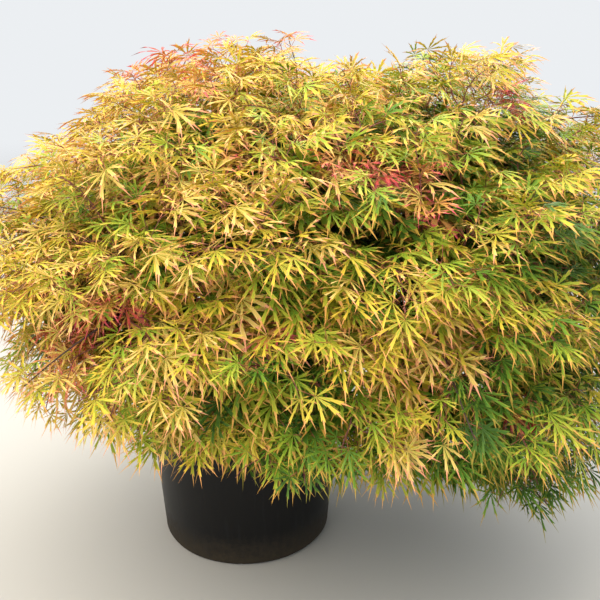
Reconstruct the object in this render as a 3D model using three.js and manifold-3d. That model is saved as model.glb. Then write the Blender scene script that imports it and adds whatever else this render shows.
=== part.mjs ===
// Potted Japanese maple with a low, spreading, deeply cut crown, in a round nursery pot.
// Millimetres, +Z up, +X to the viewer's right and +Y away from the viewer.
// The origin is on the ground, at the centre of the pot's flat underside.
import * as THREE from 'three';
import { mergeVertices } from 'three/addons/utils/BufferGeometryUtils.js';
import Module from 'manifold-3d';

const wasm = await Module();
wasm.setup();

// Driving sizes
const GAP = 0.3;
const WELD = 1e-4;

const POT = {
  height: 420,
  footRadius: 220,
  rimRadius: 250,
  wall: 4,
  floor: 5,
  footRound: 14,
  bandHeight: 26,
  bandDepth: 7,
  lip: 3,
  sides: 32,
};

const SOIL = {
  height: 385,
  edgeDrop: 10,
  moundRadius: 150,
  moundDrop: 3,
  flatRadius: 75,
};

const TRUNK = {
  forkX: 45,
  forkY: 6,
  forkHeight: 590,
  uprightLength: 75,
  lean: [22, 4, 70],
  baseRadius: 29,
  forkRadius: 23,
  flare: 19,
  flareHeight: 34,
  buttresses: 5,
  buttressDepth: 7,
  sides: 15,
  steps: 8,
};

// The main boughs leave the trunk round its fork, and each carries a low and a high side bough.
// A bough runs a share of the way to its mass's middle, and ends where it enters the mass.
const BOUGH = {
  count: 6,
  firstDegrees: 28,
  strayDegrees: 7,
  leavesAt: [0.97, 0.86, 0.75],
  leastLift: 0.7,
  mostLift: 1.15,
  inward: 0.6,
  startRadius: 15.5,
  tipRadius: 6.5,
  sides: 7,
  steps: 7,
};
const SIDE_BOUGH = {
  kinds: [
    { tier: 'skirt', suffix: 'low', leavesAt: 0.42 },
    { tier: 'top', suffix: 'high', leavesAt: 0.56 },
  ],
  turnOut: 0.6,
  inward: 0.62,
  startRadius: 9,
  tipRadius: 5,
  sides: 5,
  steps: 6,
};
const BEND = { leaving: 0.4, arriving: 0.35, levelling: 0.35 };

const CROWN = {
  centreX: 165,
  centreY: 5,
  heartHeight: 700,
  halfDepth: 730,
  leftRim: 730,
  rightRim: 620,
  planRoundness: 2.3,
  domeRoundness: 2.4,
  skirtRoundness: 2.6,
  tierStray: 0.03,
  hollowDepth: 40,
  hollowShare: 0.6,
};

// The crown's outline as the viewer sees it, from left to right: x across, then height
const TOP_OUTLINE = [
  [-665, 730], [-640, 890], [-560, 990], [-470, 1010], [-385, 1075], [-250, 1190], [-140, 1240],
  [110, 1268], [300, 1225], [460, 1272], [620, 1230], [760, 1190], [890, 1095], [965, 950], [1000, 620],
];
const BOTTOM_OUTLINE = [
  [-665, 730], [-610, 560], [-410, 460], [-250, 400], [60, 350], [170, 290], [300, 350],
  [450, 290], [650, 225], [760, 250], [880, 370], [965, 490], [1000, 620],
];

// Three tiers of foliage, each with one mass to a bough. A mass's middle stands so far out from
// the crown's axis and so far up from the crown's lower surface to its upper one.
const TIERS = [
  { name: 'outer', outward: 0.74, upward: 0.66, turn: 30 },
  { name: 'skirt', outward: 0.74, upward: 0.2, turn: -7 },
  { name: 'top', outward: 0.4, upward: 0.8, turn: 6 },
];

const TWIG = {
  leastRadius: 1.4,
  tipRadius: 1.8,
  growth: 0.5,
  rootShare: 0.7,
  sunkShare: 0.3,
  collarShare: 1.3,
  sides: 3,
  stemSides: 5,
  clearance: 1.5,
  potClearance: 14,
  girth: 4,
  stemLength: 70,
  stemTaper: 0.8,
  stemPlaces: [0.45, 0.62, 0.79, 0.96],
  places: [0.2, 0.32, 0.44, 0.56, 0.68],
  detour: 0.3,
  leaders: 4,
  shortest: 45,
  leastFacing: 0.3,
  leastForward: -0.2,
};
const LEAF = {
  length: 176,
  thickness: 5,
  notch: 0.25,
  droop: 0.26,
  lobes: [[-144, 0.72], [-72, 0.9], [0, 1], [72, 0.9], [144, 0.72]],
  sizes: [1, 0.87, 0.74, 0.61],
  turns: [0, 0.4, -0.4, 0.8],
  apart: 6,
  levelHeight: 820,
  steepDrop: 350,
  leastLean: 0.35,
  mostLean: 1.1,
  tilt: 0.3,
  swing: 0.6,
  lobeGirth: 0.6,
};
const SPRAY = { spacing: 100, innerReach: 0.6, tries: 60000, lowest: 220, highest: 1275 };
const CELL_MARGIN = 1.5;
const SEED = 20461;

const bark = new THREE.MeshStandardMaterial({ color: 0x6b5648, roughness: 0.85, metalness: 0 });
const resin = new THREE.MeshStandardMaterial({ color: 0x1c1d20, roughness: 0.55, metalness: 0 });
const compost = new THREE.MeshStandardMaterial({ color: 0x3a281c, roughness: 0.98, metalness: 0 });
const foliageColours = { outer: 0xb9b04a, skirt: 0x8a9c3c, top: 0xc8a84c };

const maple = new THREE.Group();

// A repeatable number from 0 to 1 for any list of whole numbers
function chance(...keys) {
  let hash = SEED;
  for (const key of keys) {
    hash = Math.imul(hash ^ (key + 0x9e3779b9), 0x85ebca6b);
    hash ^= hash >>> 13;
    hash = Math.imul(hash, 0xc2b2ae35);
    hash ^= hash >>> 16;
  }
  return (hash >>> 0) / 4294967296;
}

function between(low, high, ...keys) {
  return low + (high - low) * chance(...keys);
}

// Crown space

function outlineHeight(outline, x) {
  let i = 0;
  while (i < outline.length - 2 && x > outline[i + 1][0]) {
    i += 1;
  }
  const [x0, z0] = outline[i];
  const [x1, z1] = outline[i + 1];
  return THREE.MathUtils.lerp(z0, z1, THREE.MathUtils.clamp((x - x0) / (x1 - x0), 0, 1));
}

function roundedOff(share, power) {
  return (1 - Math.min(share, 1) ** power) ** (1 / power);
}

const crownLeft = TOP_OUTLINE[0][0];
const crownRight = TOP_OUTLINE.at(-1)[0];
const crownHalfWidth = (crownRight - crownLeft) / 2;

// The crown's lower and upper surface over a place in plan, or null outside it
function crownSpan(x, y) {
  const across = Math.abs(x - (crownLeft + crownRight) / 2) / crownHalfWidth;
  const depth = CROWN.halfDepth * roundedOff(across, CROWN.planRoundness);
  const share = Math.abs(y - CROWN.centreY) / depth;
  if (across >= 1 || share >= 1) {
    return null;
  }
  const rim = THREE.MathUtils.mapLinear(x, crownLeft, crownRight, CROWN.leftRim, CROWN.rightRim);
  const rise = (outlineHeight(TOP_OUTLINE, x) - rim) * roundedOff(share, CROWN.domeRoundness);
  const fall = (rim - outlineHeight(BOTTOM_OUTLINE, x)) * roundedOff(share, CROWN.skirtRoundness);
  return [rim - fall, rim + rise];
}

function insideCrown(point) {
  const span = crownSpan(point.x, point.y);
  return span !== null && point.z >= span[0] && point.z <= span[1];
}

const heart = new THREE.Vector3(CROWN.centreX, CROWN.centreY, CROWN.heartHeight);

const FARTHEST = 12;
const HALVINGS = 22;

// How far out a point lies: 0 at the heart of the crown and 1 at its surface
function reachOf(point) {
  const step = point.clone().sub(heart);
  let near = 0;
  let far = FARTHEST;
  for (let halving = 0; halving < HALVINGS; halving += 1) {
    const half = (near + far) / 2;
    if (insideCrown(step.clone().multiplyScalar(half).add(heart))) {
      near = half;
    } else {
      far = half;
    }
  }
  return 1 / far;
}

// Solids

function toGeometry(vertices, faces) {
  const geometry = new THREE.BufferGeometry();
  geometry.setFromPoints(vertices);
  geometry.setIndex(faces.flat());
  return geometry;
}

function toSolid(geometry) {
  const bare = geometry.clone();
  bare.deleteAttribute('normal');
  bare.deleteAttribute('uv');
  const welded = mergeVertices(bare, WELD);
  return new wasm.Manifold(new wasm.Mesh({
    numProp: 3,
    vertProperties: welded.attributes.position.array,
    triVerts: new Uint32Array(welded.index.array),
  }));
}

function fromSolid(solid) {
  const { vertProperties, triVerts } = solid.getMesh();
  const geometry = new THREE.BufferGeometry();
  geometry.setAttribute('position', new THREE.BufferAttribute(vertProperties.slice(), 3));
  geometry.setIndex(new THREE.BufferAttribute(triVerts.slice(), 1));
  return geometry;
}

// The largest outer skin alone: loose scraps go, and a sealed hollow is filled
function largestBody(solid) {
  const bodies = solid.decompose();
  return bodies.reduce((best, body) => (body.volume() > best.volume() ? body : best));
}

// Rings of vertices round points, square to the heading at each; a radius is a number, or one
// number for each side
function ringVertices(points, headings, radii, sides) {
  const spoke = new THREE.Vector3(1, 0, 0);
  return points.flatMap((point, i) => {
    spoke.addScaledVector(headings[i], -spoke.dot(headings[i])).normalize();
    const across = headings[i].clone().cross(spoke);
    return Array.from({ length: sides }, (_, j) => {
      const angle = (2 * Math.PI * j) / sides;
      const radius = Array.isArray(radii[i]) ? radii[i][j] : radii[i];
      const vertex = point.clone().addScaledVector(spoke, radius * Math.cos(angle));
      return vertex.addScaledVector(across, radius * Math.sin(angle));
    });
  });
}

// The side faces of a tube whose rings start at a vertex number
function tubeFaces(first, rings, sides) {
  const faces = [];
  for (let i = 0; i < rings - 1; i += 1) {
    for (let j = 0; j < sides; j += 1) {
      const a = first + i * sides + j;
      const b = first + i * sides + ((j + 1) % sides);
      faces.push([a, b, b + sides], [a, b + sides, a + sides]);
    }
  }
  return faces;
}

function tubeGeometry(points, headings, radii, sides) {
  const faces = tubeFaces(0, points.length, sides);
  const last = (points.length - 1) * sides;
  for (let j = 1; j < sides - 1; j += 1) {
    faces.push([0, j + 1, j], [last, last + j, last + j + 1]);
  }
  return toGeometry(ringVertices(points, headings, radii, sides), faces);
}

// A tapering limb along a curve; radiusAt takes the share along and the angle round
function limbGeometry(curve, radiusAt, sides, steps) {
  const shares = Array.from({ length: steps + 1 }, (_, i) => i / steps);
  const angles = Array.from({ length: sides }, (_, j) => (2 * Math.PI * j) / sides);
  return tubeGeometry(
    shares.map((share) => curve.getPointAt(share)),
    shares.map((share) => curve.getTangentAt(share)),
    shares.map((share) => angles.map((angle) => radiusAt(share, angle))),
    sides,
  );
}

function addNode(name, geometry, material) {
  const mesh = new THREE.Mesh(geometry, material);
  mesh.name = name;
  maple.add(mesh);
}

// Pot and soil

function potRadius(height) {
  return POT.footRadius + ((POT.rimRadius - POT.footRadius) * height) / POT.height;
}

function potGeometry() {
  const { height, wall, floor, footRound, bandHeight, bandDepth } = POT;
  const profile = [[0, 0], [POT.footRadius - footRound, 0]];
  for (let i = 1; i <= 3; i += 1) {
    const turn = (i / 3) * (Math.PI / 2);
    const z = footRound * (1 - Math.cos(turn));
    profile.push([potRadius(z) - footRound * (1 - Math.sin(turn)), z]);
  }
  const bandFoot = height - bandHeight;
  profile.push([potRadius(bandFoot), bandFoot]);
  profile.push([potRadius(bandFoot) + bandDepth, bandFoot + bandDepth / 2]);
  profile.push([POT.rimRadius + bandDepth, height - POT.lip]);
  profile.push([POT.rimRadius + bandDepth - POT.lip, height]);
  profile.push([POT.rimRadius - wall, height]);
  profile.push([potRadius(floor) - wall, floor]);
  profile.push([0, floor]);
  return latheUpright(profile);
}

function soilGeometry() {
  const base = POT.floor + GAP;
  const edge = SOIL.height - SOIL.edgeDrop;
  const inset = POT.wall + GAP;
  return latheUpright([
    [0, base],
    [potRadius(base) - inset, base],
    [potRadius(edge) - inset, edge],
    [SOIL.moundRadius, SOIL.height - SOIL.moundDrop],
    [SOIL.flatRadius, SOIL.height],
    [0, SOIL.height],
  ]);
}

// A profile of radius and height, from the axis and back to it, turned round the Z axis
function latheUpright(profile) {
  const points = profile.map(([radius, height]) => new THREE.Vector2(radius, height));
  const geometry = new THREE.LatheGeometry(points, POT.sides);
  geometry.rotateX(Math.PI / 2);
  return geometry;
}

// Trunk and boughs

const limbs = [];

function rememberLimb(name, curve, { startRadius, tipRadius, steps }) {
  limbs.push({ name, curve, points: curve.getSpacedPoints(steps), startRadius, tipRadius });
}

const fork = new THREE.Vector3(TRUNK.forkX, TRUNK.forkY, TRUNK.forkHeight);
const trunkFoot = new THREE.Vector3(0, 0, SOIL.height + GAP);
const trunkCurve = new THREE.CubicBezierCurve3(
  trunkFoot,
  new THREE.Vector3(0, 0, SOIL.height + TRUNK.uprightLength),
  fork.clone().sub(new THREE.Vector3(...TRUNK.lean)),
  fork,
);

// The trunk tapers, and spreads to the soil in a flare with shallow buttresses
function trunkRadius(share, angle) {
  const above = share * (fork.z - trunkFoot.z);
  const spread = TRUNK.flare + TRUNK.buttressDepth * Math.cos(TRUNK.buttresses * angle);
  const taper = THREE.MathUtils.lerp(TRUNK.baseRadius, TRUNK.forkRadius, share);
  return taper + spread * Math.exp(-above / TRUNK.flareHeight);
}

function massCentre(tier, sector) {
  const stray = between(-BOUGH.strayDegrees, BOUGH.strayDegrees, 1, sector, tier.turn);
  const degrees = BOUGH.firstDegrees + (sector * 360) / BOUGH.count + tier.turn + stray;
  const angle = THREE.MathUtils.degToRad(degrees);
  const x = CROWN.centreX + Math.cos(angle) * crownHalfWidth * tier.outward;
  const y = CROWN.centreY + Math.sin(angle) * CROWN.halfDepth * tier.outward;
  const [bottom, top] = crownSpan(x, y);
  const upward = tier.upward + between(-CROWN.tierStray, CROWN.tierStray, 2, sector, tier.turn);
  return new THREE.Vector3(x, y, THREE.MathUtils.lerp(bottom, top, upward));
}

const masses = [];
for (let sector = 0; sector < BOUGH.count; sector += 1) {
  for (const tier of TIERS) {
    const name = `foliage_${tier.name}_${sector + 1}`;
    masses.push({ name, tier: tier.name, sector, centre: massCentre(tier, sector), leaves: [] });
  }
}

function massOf(tier, sector) {
  return masses.find((mass) => mass.tier === tier && mass.sector === sector);
}

// How deep a point lies inside a mass's own space: the flat walls stand midway between neighbours
function depthInCell(mass, point) {
  let depth = Infinity;
  for (const other of masses) {
    if (other !== mass) {
      const wall = other.centre.clone().sub(mass.centre);
      const middle = mass.centre.clone().add(other.centre).multiplyScalar(0.5);
      depth = Math.min(depth, -point.clone().sub(middle).dot(wall.normalize()));
    }
  }
  return depth;
}

// A bough leaves along its lift, levels out, and points into its mass at its tip
function boughCurve(start, lift, mass, share) {
  const tip = start.clone().lerp(mass.centre, share);
  const length = tip.distanceTo(start);
  const leave = lift.clone().normalize().multiplyScalar(length * BEND.leaving).add(start);
  const inward = mass.centre.clone().sub(start).normalize();
  inward.z *= BEND.levelling;
  const arrive = tip.clone().addScaledVector(inward.normalize(), -length * BEND.arriving);
  mass.root = tip;
  mass.heading = tip.clone().sub(arrive).normalize();
  return new THREE.CubicBezierCurve3(start, leave, arrive, tip);
}

// A limb cut 0.3 mm clear of the limb that carries it and of those beside it
function cutLimb(curve, sizes, carriers) {
  const grown = (margin) => {
    const radiusAt = (share) => THREE.MathUtils.lerp(sizes.startRadius, sizes.tipRadius, share) + margin;
    return toSolid(limbGeometry(curve, radiusAt, sizes.sides, sizes.steps));
  };
  const solid = carriers.reduce((left, carrier) => left.subtract(carrier), grown(0));
  return { solid: largestBody(solid), swollen: grown(GAP) };
}

function addBough(name, curve, sizes, mass) {
  const { solid, swollen } = cutLimb(curve, sizes, carriers);
  addNode(name, fromSolid(solid), bark);
  rememberLimb(name, curve, sizes);
  carriers.push(swollen);
  mass.carrier = name;
  mass.stemRadius = sizes.tipRadius;
}

addNode('pot', potGeometry(), resin);
addNode('soil', soilGeometry(), compost);

const trunkGeometry = limbGeometry(trunkCurve, trunkRadius, TRUNK.sides, TRUNK.steps);
const swollenTrunk = toSolid(limbGeometry(
  trunkCurve,
  (share, angle) => trunkRadius(share, angle) + GAP,
  TRUNK.sides,
  TRUNK.steps,
));
addNode('trunk', trunkGeometry, bark);
rememberLimb('trunk', trunkCurve, {
  startRadius: TRUNK.baseRadius,
  tipRadius: TRUNK.forkRadius,
  steps: TRUNK.steps,
});

const carriers = [swollenTrunk];
for (let sector = 0; sector < BOUGH.count; sector += 1) {
  const mass = massOf('outer', sector);
  const start = trunkCurve.getPointAt(BOUGH.leavesAt[sector % BOUGH.leavesAt.length]);
  const lift = mass.centre.clone().sub(start).setZ(0).normalize();
  lift.z = between(BOUGH.leastLift, BOUGH.mostLift, 3, sector);
  addBough(`bough_${sector + 1}`, boughCurve(start, lift, mass, BOUGH.inward), BOUGH, mass);
}

for (const { tier, suffix, leavesAt } of SIDE_BOUGH.kinds) {
  for (let sector = 0; sector < BOUGH.count; sector += 1) {
    const mass = massOf(tier, sector);
    const main = limbs.find((limb) => limb.name === `bough_${sector + 1}`);
    const start = main.curve.getPointAt(leavesAt);
    const outward = mass.centre.clone().sub(start).normalize();
    const lift = main.curve.getTangentAt(leavesAt).lerp(outward, SIDE_BOUGH.turnOut);
    const curve = boughCurve(start, lift, mass, SIDE_BOUGH.inward);
    addBough(`bough_${sector + 1}_${suffix}`, curve, SIDE_BOUGH, mass);
  }
}

// Twigs and leaves

// Shortest distance between two straight stretches
function stretchDistance(a0, a1, b0, b1) {
  const u = a1.clone().sub(a0);
  const v = b1.clone().sub(b0);
  const w = a0.clone().sub(b0);
  const uu = u.dot(u);
  const uv = u.dot(v);
  const vv = v.dot(v);
  const uw = u.dot(w);
  const vw = v.dot(w);
  const spread = Math.max(uu * vv - uv * uv, Number.EPSILON);
  let s = THREE.MathUtils.clamp((uv * vw - vv * uw) / spread, 0, 1);
  const t = THREE.MathUtils.clamp((uv * s + vw) / vv, 0, 1);
  s = THREE.MathUtils.clamp((uv * t - uw) / uu, 0, 1);
  return w.addScaledVector(u, s).addScaledVector(v, -t).length();
}

function clearOfLimbs(from, to, radius, exceptTipOf) {
  for (const limb of limbs) {
    const last = limb.points.length - 1;
    for (let i = 0; i < last; i += 1) {
      if (limb.name === exceptTipOf && i === last - 1) {
        continue;
      }
      const thick = THREE.MathUtils.lerp(limb.startRadius, limb.tipRadius, i / last);
      const gap = stretchDistance(from, to, limb.points[i], limb.points[i + 1]) - thick - radius;
      if (gap < TWIG.clearance) {
        return false;
      }
    }
  }
  return true;
}

function clearOfPot(point) {
  const besidePot = Math.hypot(point.x, point.y) > POT.rimRadius + POT.bandDepth + TWIG.potClearance;
  return besidePot || point.z > POT.height + TWIG.potClearance;
}

// How a leaf lies: square to its face, along its middle lobe, and across it
function leafFrame(middle, serial, turn) {
  const outward = middle.clone().sub(heart);
  const flat = new THREE.Vector3(outward.x, outward.y, 0).normalize();
  const steep = THREE.MathUtils.clamp((LEAF.levelHeight - middle.z) / LEAF.steepDrop, 0, 1);
  const up = new THREE.Vector3(0, 0, 1);
  const axis = up.clone().addScaledVector(flat, THREE.MathUtils.lerp(LEAF.leastLean, LEAF.mostLean, steep));
  axis.x += between(-LEAF.tilt, LEAF.tilt, 11, serial);
  axis.y += between(-LEAF.tilt, LEAF.tilt, 12, serial);
  axis.normalize();
  const main = flat.applyAxisAngle(up, turn + between(-LEAF.swing, LEAF.swing, 13, serial));
  main.addScaledVector(axis, -main.dot(axis)).normalize();
  return { axis, main, side: axis.clone().cross(main) };
}

// A five-lobed leaf as its middle and its rim of tips and notches. The lobes are long and
// narrow, and their tips hang.
function leafShape(middle, frame, length) {
  const around = (degrees, share) => {
    const angle = THREE.MathUtils.degToRad(degrees);
    const point = middle.clone().addScaledVector(frame.main, share * length * Math.cos(angle));
    point.addScaledVector(frame.side, share * length * Math.sin(angle));
    point.z -= LEAF.droop * share * share * length;
    return point;
  };
  const halfStep = 180 / LEAF.lobes.length;
  const rim = LEAF.lobes.flatMap(([degrees, share]) => (
    [around(degrees, share), around(degrees + halfStep, LEAF.notch)]
  ));
  return { middle, rim, frame, length };
}

function homeOf(point) {
  return masses.reduce((best, mass) => (
    mass.centre.distanceTo(point) < best.centre.distanceTo(point) ? mass : best
  ));
}

function leafIsClear(mass, leaf) {
  const inPlace = leaf.rim.every((point) => (
    depthInCell(mass, point) > CELL_MARGIN && insideCrown(point) && clearOfPot(point)
  ));
  const halfLobe = LEAF.notch * LEAF.lobeGirth * leaf.length;
  if (!inPlace || !leaf.rim.every((point) => clearOfLimbs(leaf.middle, point, halfLobe, null))) {
    return false;
  }
  return mass.leaves.every((other) => (
    leaf.rim.every((point) => clearOfLeaf(leaf.middle, point, other))
  ));
}

function clearOfLeaf(from, to, leaf) {
  const near = from.distanceTo(leaf.middle) < from.distanceTo(to) + leaf.length + 2 * LEAF.apart;
  return !near || leaf.rim.every((tip) => stretchDistance(from, to, leaf.middle, tip) > LEAF.apart);
}

// The largest leaf that stays in its mass's space, in the crown, and off limbs, pot and leaves
function fittingLeaf(middle, serial) {
  const mass = homeOf(middle);
  for (const size of LEAF.sizes) {
    for (const turn of LEAF.turns) {
      const leaf = leafShape(middle, leafFrame(middle, serial, turn), LEAF.length * size);
      if (leafIsClear(mass, leaf)) {
        mass.leaves.push(leaf);
        return true;
      }
    }
  }
  return false;
}

// The crown is open underneath, inside its skirt
function isUnderneath(point) {
  const across = (point.x - CROWN.centreX) / crownHalfWidth;
  const fromAxis = Math.hypot(across, point.y / CROWN.halfDepth);
  return point.z < CROWN.heartHeight - CROWN.hollowDepth && fromAxis < CROWN.hollowShare;
}

// Leaves all through the crown's outer shell, at well-spaced places
function scatterLeaves() {
  const kept = [];
  for (let i = 0; i < SPRAY.tries; i += 1) {
    const point = new THREE.Vector3(
      between(crownLeft, crownRight, 21, i),
      CROWN.centreY + between(-CROWN.halfDepth, CROWN.halfDepth, 22, i),
      between(SPRAY.lowest, SPRAY.highest, 23, i),
    );
    if (!insideCrown(point) || kept.some((other) => other.distanceTo(point) < SPRAY.spacing)) {
      continue;
    }
    const inShell = !isUnderneath(point) && clearOfPot(point) && reachOf(point) > SPRAY.innerReach;
    if (inShell && fittingLeaf(point, i)) {
      kept.push(point);
    }
  }
}

// The order of growth: a few far leaves, spread wide, then the rest from the stem outward
function growthOrder(leaves, root) {
  const rest = [...leaves];
  const order = [];
  while (rest.length > 0 && order.length < TWIG.leaders) {
    const spread = (leaf) => Math.min(
      leaf.middle.distanceTo(root),
      ...order.map((chosen) => chosen.middle.distanceTo(leaf.middle)),
    );
    rest.sort((a, b) => spread(b) - spread(a));
    order.push(rest.shift());
  }
  rest.sort((a, b) => a.middle.distanceTo(root) - b.middle.distanceTo(root));
  return [...order, ...rest];
}

// One mass's tree of twigs. Each leaf's twig leaves an earlier twig, or the stem's end, where
// that makes the shortest way back to the bough, and a leaf with no clear way is skipped.
function growTwigs(mass) {
  const root = mass.root.clone().addScaledVector(mass.heading, GAP);
  const stemEnd = root.clone().addScaledVector(mass.heading, TWIG.stemLength);
  const stem = { from: root, to: stemEnd, parent: null, way: 0, carried: 0, leaf: null };
  const twigs = [stem];
  const placesOn = (twig, shares) => (
    shares.map((share) => ({ twig, share, point: twig.from.clone().lerp(twig.to, share) }))
  );
  const places = placesOn(stem, TWIG.stemPlaces);
  for (const leaf of growthOrder(mass.leaves, root)) {
    const others = mass.leaves.filter((other) => other !== leaf);
    const costOf = ({ twig, share, point }) => (
      point.distanceTo(leaf.middle) + TWIG.detour * (twig.way + share * twig.from.distanceTo(twig.to))
    );
    places.sort((a, b) => costOf(a) - costOf(b));
    const found = places.find(({ twig, point }) => {
      const heading = leaf.middle.clone().sub(point).normalize();
      const bend = heading.dot(twig.to.clone().sub(twig.from).normalize());
      return heading.dot(leaf.frame.axis) > TWIG.leastFacing && bend > TWIG.leastForward
        && point.distanceTo(leaf.middle) > TWIG.shortest
        && clearOfLeaf(twig.from, twig.to, leaf)
        && clearOfLimbs(point, leaf.middle, TWIG.girth, twig === stem ? mass.carrier : null)
        && others.every((other) => clearOfLeaf(point, leaf.middle, other));
    });
    if (!found) {
      continue;
    }
    const twig = {
      from: found.point,
      to: leaf.middle,
      parent: found.twig,
      share: found.share,
      way: found.twig.way + found.share * found.twig.from.distanceTo(found.twig.to),
      carried: 1,
      leaf,
    };
    twigs.push(twig);
    places.splice(places.indexOf(found), 1);
    places.push(...placesOn(twig, TWIG.places));
  }
  return twigs;
}

// The start and end radius of every twig: thicker as it carries more, never thicker than its bearer
function sizeTwigs(twigs, mass) {
  for (let i = twigs.length - 1; i > 0; i -= 1) {
    twigs[i].parent.carried += twigs[i].carried;
  }
  const [stem, ...others] = twigs;
  stem.start = mass.stemRadius;
  stem.end = mass.stemRadius * TWIG.stemTaper;
  for (const twig of others) {
    twig.bearer = THREE.MathUtils.lerp(twig.parent.start, twig.parent.end, twig.share);
    const full = TWIG.tipRadius * twig.carried ** TWIG.growth;
    twig.start = Math.max(Math.min(full, twig.bearer * TWIG.rootShare), TWIG.leastRadius);
    twig.end = Math.min(TWIG.tipRadius, twig.start);
  }
}

// A twig that widens into its leaf. It starts as a point sunk in its bearer, and its last ring
// lies in the leaf's underside.
function sprayGeometry(twig) {
  const { middle, rim, frame } = twig.leaf;
  const { sides } = TWIG;
  const heading = twig.to.clone().sub(twig.from).normalize();
  const sunk = twig.from.clone().addScaledVector(heading, -twig.bearer * TWIG.sunkShare);
  const collar = twig.from.clone().addScaledVector(heading, twig.bearer * TWIG.collarShare);
  const rings = ringVertices([collar, twig.to], [heading, heading], [twig.start, twig.end], sides);
  const below = middle.clone().addScaledVector(frame.axis, -LEAF.thickness / 2);
  const lastRing = rings.slice(sides);
  for (const vertex of lastRing) {
    const climb = below.clone().sub(vertex).dot(frame.axis) / heading.dot(frame.axis);
    vertex.addScaledVector(heading, climb);
  }
  const above = middle.clone().addScaledVector(frame.axis, LEAF.thickness / 2);
  const vertices = [sunk, ...rings, ...rim, above];
  const rimStart = 1 + rings.length;
  const faces = tubeFaces(1, 2, sides);
  for (let j = 0; j < sides; j += 1) {
    faces.push([0, 1 + ((j + 1) % sides), 1 + j]);
  }
  for (let i = 0; i < rim.length; i += 1) {
    faces.push([vertices.length - 1, rimStart + i, rimStart + ((i + 1) % rim.length)]);
  }
  faces.push(...collarFaces(
    lastRing.map((vertex, j) => ({ index: 1 + sides + j, angle: angleRound(vertex, lastRing, frame) })),
    rim.map((vertex, i) => ({ index: rimStart + i, angle: angleRound(vertex, [below], frame) })),
  ));
  return toGeometry(vertices, faces);
}

// The angle of a vertex round the middle of some others, from 0 to a full turn
function angleRound(vertex, others, frame) {
  const spoke = vertex.clone();
  others.forEach((other) => spoke.addScaledVector(other, -1 / others.length));
  const angle = Math.atan2(spoke.dot(frame.side), spoke.dot(frame.main));
  return (angle + 2 * Math.PI) % (2 * Math.PI);
}

// Faces that close the band from an inner ring to an outer one, seen from below: at each step
// the ring whose next vertex comes first by angle moves on
function collarFaces(inner, outer) {
  const turn = 2 * Math.PI;
  const sorted = (ring) => [...ring].sort((a, b) => a.angle - b.angle);
  const wrapped = (ring) => [...ring, { ...ring[0], angle: ring[0].angle + turn }];
  const innerRing = wrapped(sorted(inner));
  const outerRing = wrapped(sorted(outer));
  const faces = [];
  let i = 0;
  let j = 0;
  while (i < inner.length || j < outer.length) {
    const innerNext = i < inner.length ? innerRing[i + 1].angle : Infinity;
    const outerNext = j < outer.length ? outerRing[j + 1].angle : Infinity;
    if (innerNext < outerNext) {
      faces.push([outerRing[j].index, innerRing[i].index, innerRing[i + 1].index]);
      i += 1;
    } else {
      faces.push([outerRing[j].index, innerRing[i].index, outerRing[j + 1].index]);
      j += 1;
    }
  }
  return faces;
}

function growMass(mass) {
  const twigs = growTwigs(mass);
  sizeTwigs(twigs, mass);
  const [stem, ...sprays] = twigs;
  const headings = [mass.heading, mass.heading];
  const stemTube = tubeGeometry([stem.from, stem.to], headings, [stem.start, stem.end], TWIG.stemSides);
  return largestBody(wasm.Manifold.union([stemTube, ...sprays.map(sprayGeometry)].map(toSolid)));
}

scatterLeaves();
for (const mass of masses) {
  const material = new THREE.MeshStandardMaterial({
    color: foliageColours[mass.tier],
    roughness: 0.7,
    metalness: 0,
  });
  addNode(mass.name, fromSolid(growMass(mass)), material);
}

export default maple;
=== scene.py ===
# %% [markdown]
# # A potted Japanese maple in autumn
# This lesson dresses a potted maple: a low, wide dome of deeply cut leaves over a short trunk, in
# a plain black nursery pot. The solid model is loaded first and never moved. It gives the pot,
# the soil, the trunk, the boughs and the space that each mass of foliage keeps to.

# %% Load the fixed frame
import math

import bpy
import numpy as np
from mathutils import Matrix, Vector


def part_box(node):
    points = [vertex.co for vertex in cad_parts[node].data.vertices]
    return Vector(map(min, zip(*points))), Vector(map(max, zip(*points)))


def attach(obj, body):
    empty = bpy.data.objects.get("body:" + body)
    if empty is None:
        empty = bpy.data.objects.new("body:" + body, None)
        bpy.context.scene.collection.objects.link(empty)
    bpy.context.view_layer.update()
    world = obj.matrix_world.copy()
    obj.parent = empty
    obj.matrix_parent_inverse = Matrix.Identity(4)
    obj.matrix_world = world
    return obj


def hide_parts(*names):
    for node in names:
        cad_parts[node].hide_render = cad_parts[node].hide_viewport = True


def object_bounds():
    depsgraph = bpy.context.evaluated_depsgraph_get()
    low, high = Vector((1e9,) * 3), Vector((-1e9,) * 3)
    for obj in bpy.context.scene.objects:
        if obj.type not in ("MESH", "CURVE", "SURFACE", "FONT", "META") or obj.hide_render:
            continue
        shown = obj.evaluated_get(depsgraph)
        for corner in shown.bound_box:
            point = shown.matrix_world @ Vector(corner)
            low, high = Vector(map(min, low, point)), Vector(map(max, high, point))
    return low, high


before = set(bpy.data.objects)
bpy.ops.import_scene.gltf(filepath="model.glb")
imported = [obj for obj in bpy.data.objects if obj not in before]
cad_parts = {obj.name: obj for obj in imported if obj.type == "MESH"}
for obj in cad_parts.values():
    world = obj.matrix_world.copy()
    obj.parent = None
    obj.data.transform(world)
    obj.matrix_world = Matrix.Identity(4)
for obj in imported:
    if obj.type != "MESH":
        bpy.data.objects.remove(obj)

cad_box = [list(corner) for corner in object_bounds()]
print("frame:", len(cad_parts), "nodes, box", np.round(cad_box, 3).tolist())

# %% [markdown]
# ## One mesh maker
# Every piece here is worked out as whole arrays of points and faces. This helper hands the
# arrays to Blender in one go, which stays quick for a crown of thousands of leaves, and seats
# the piece on the plant: it rides on the one body and stands for the nodes that it replaces.

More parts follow.
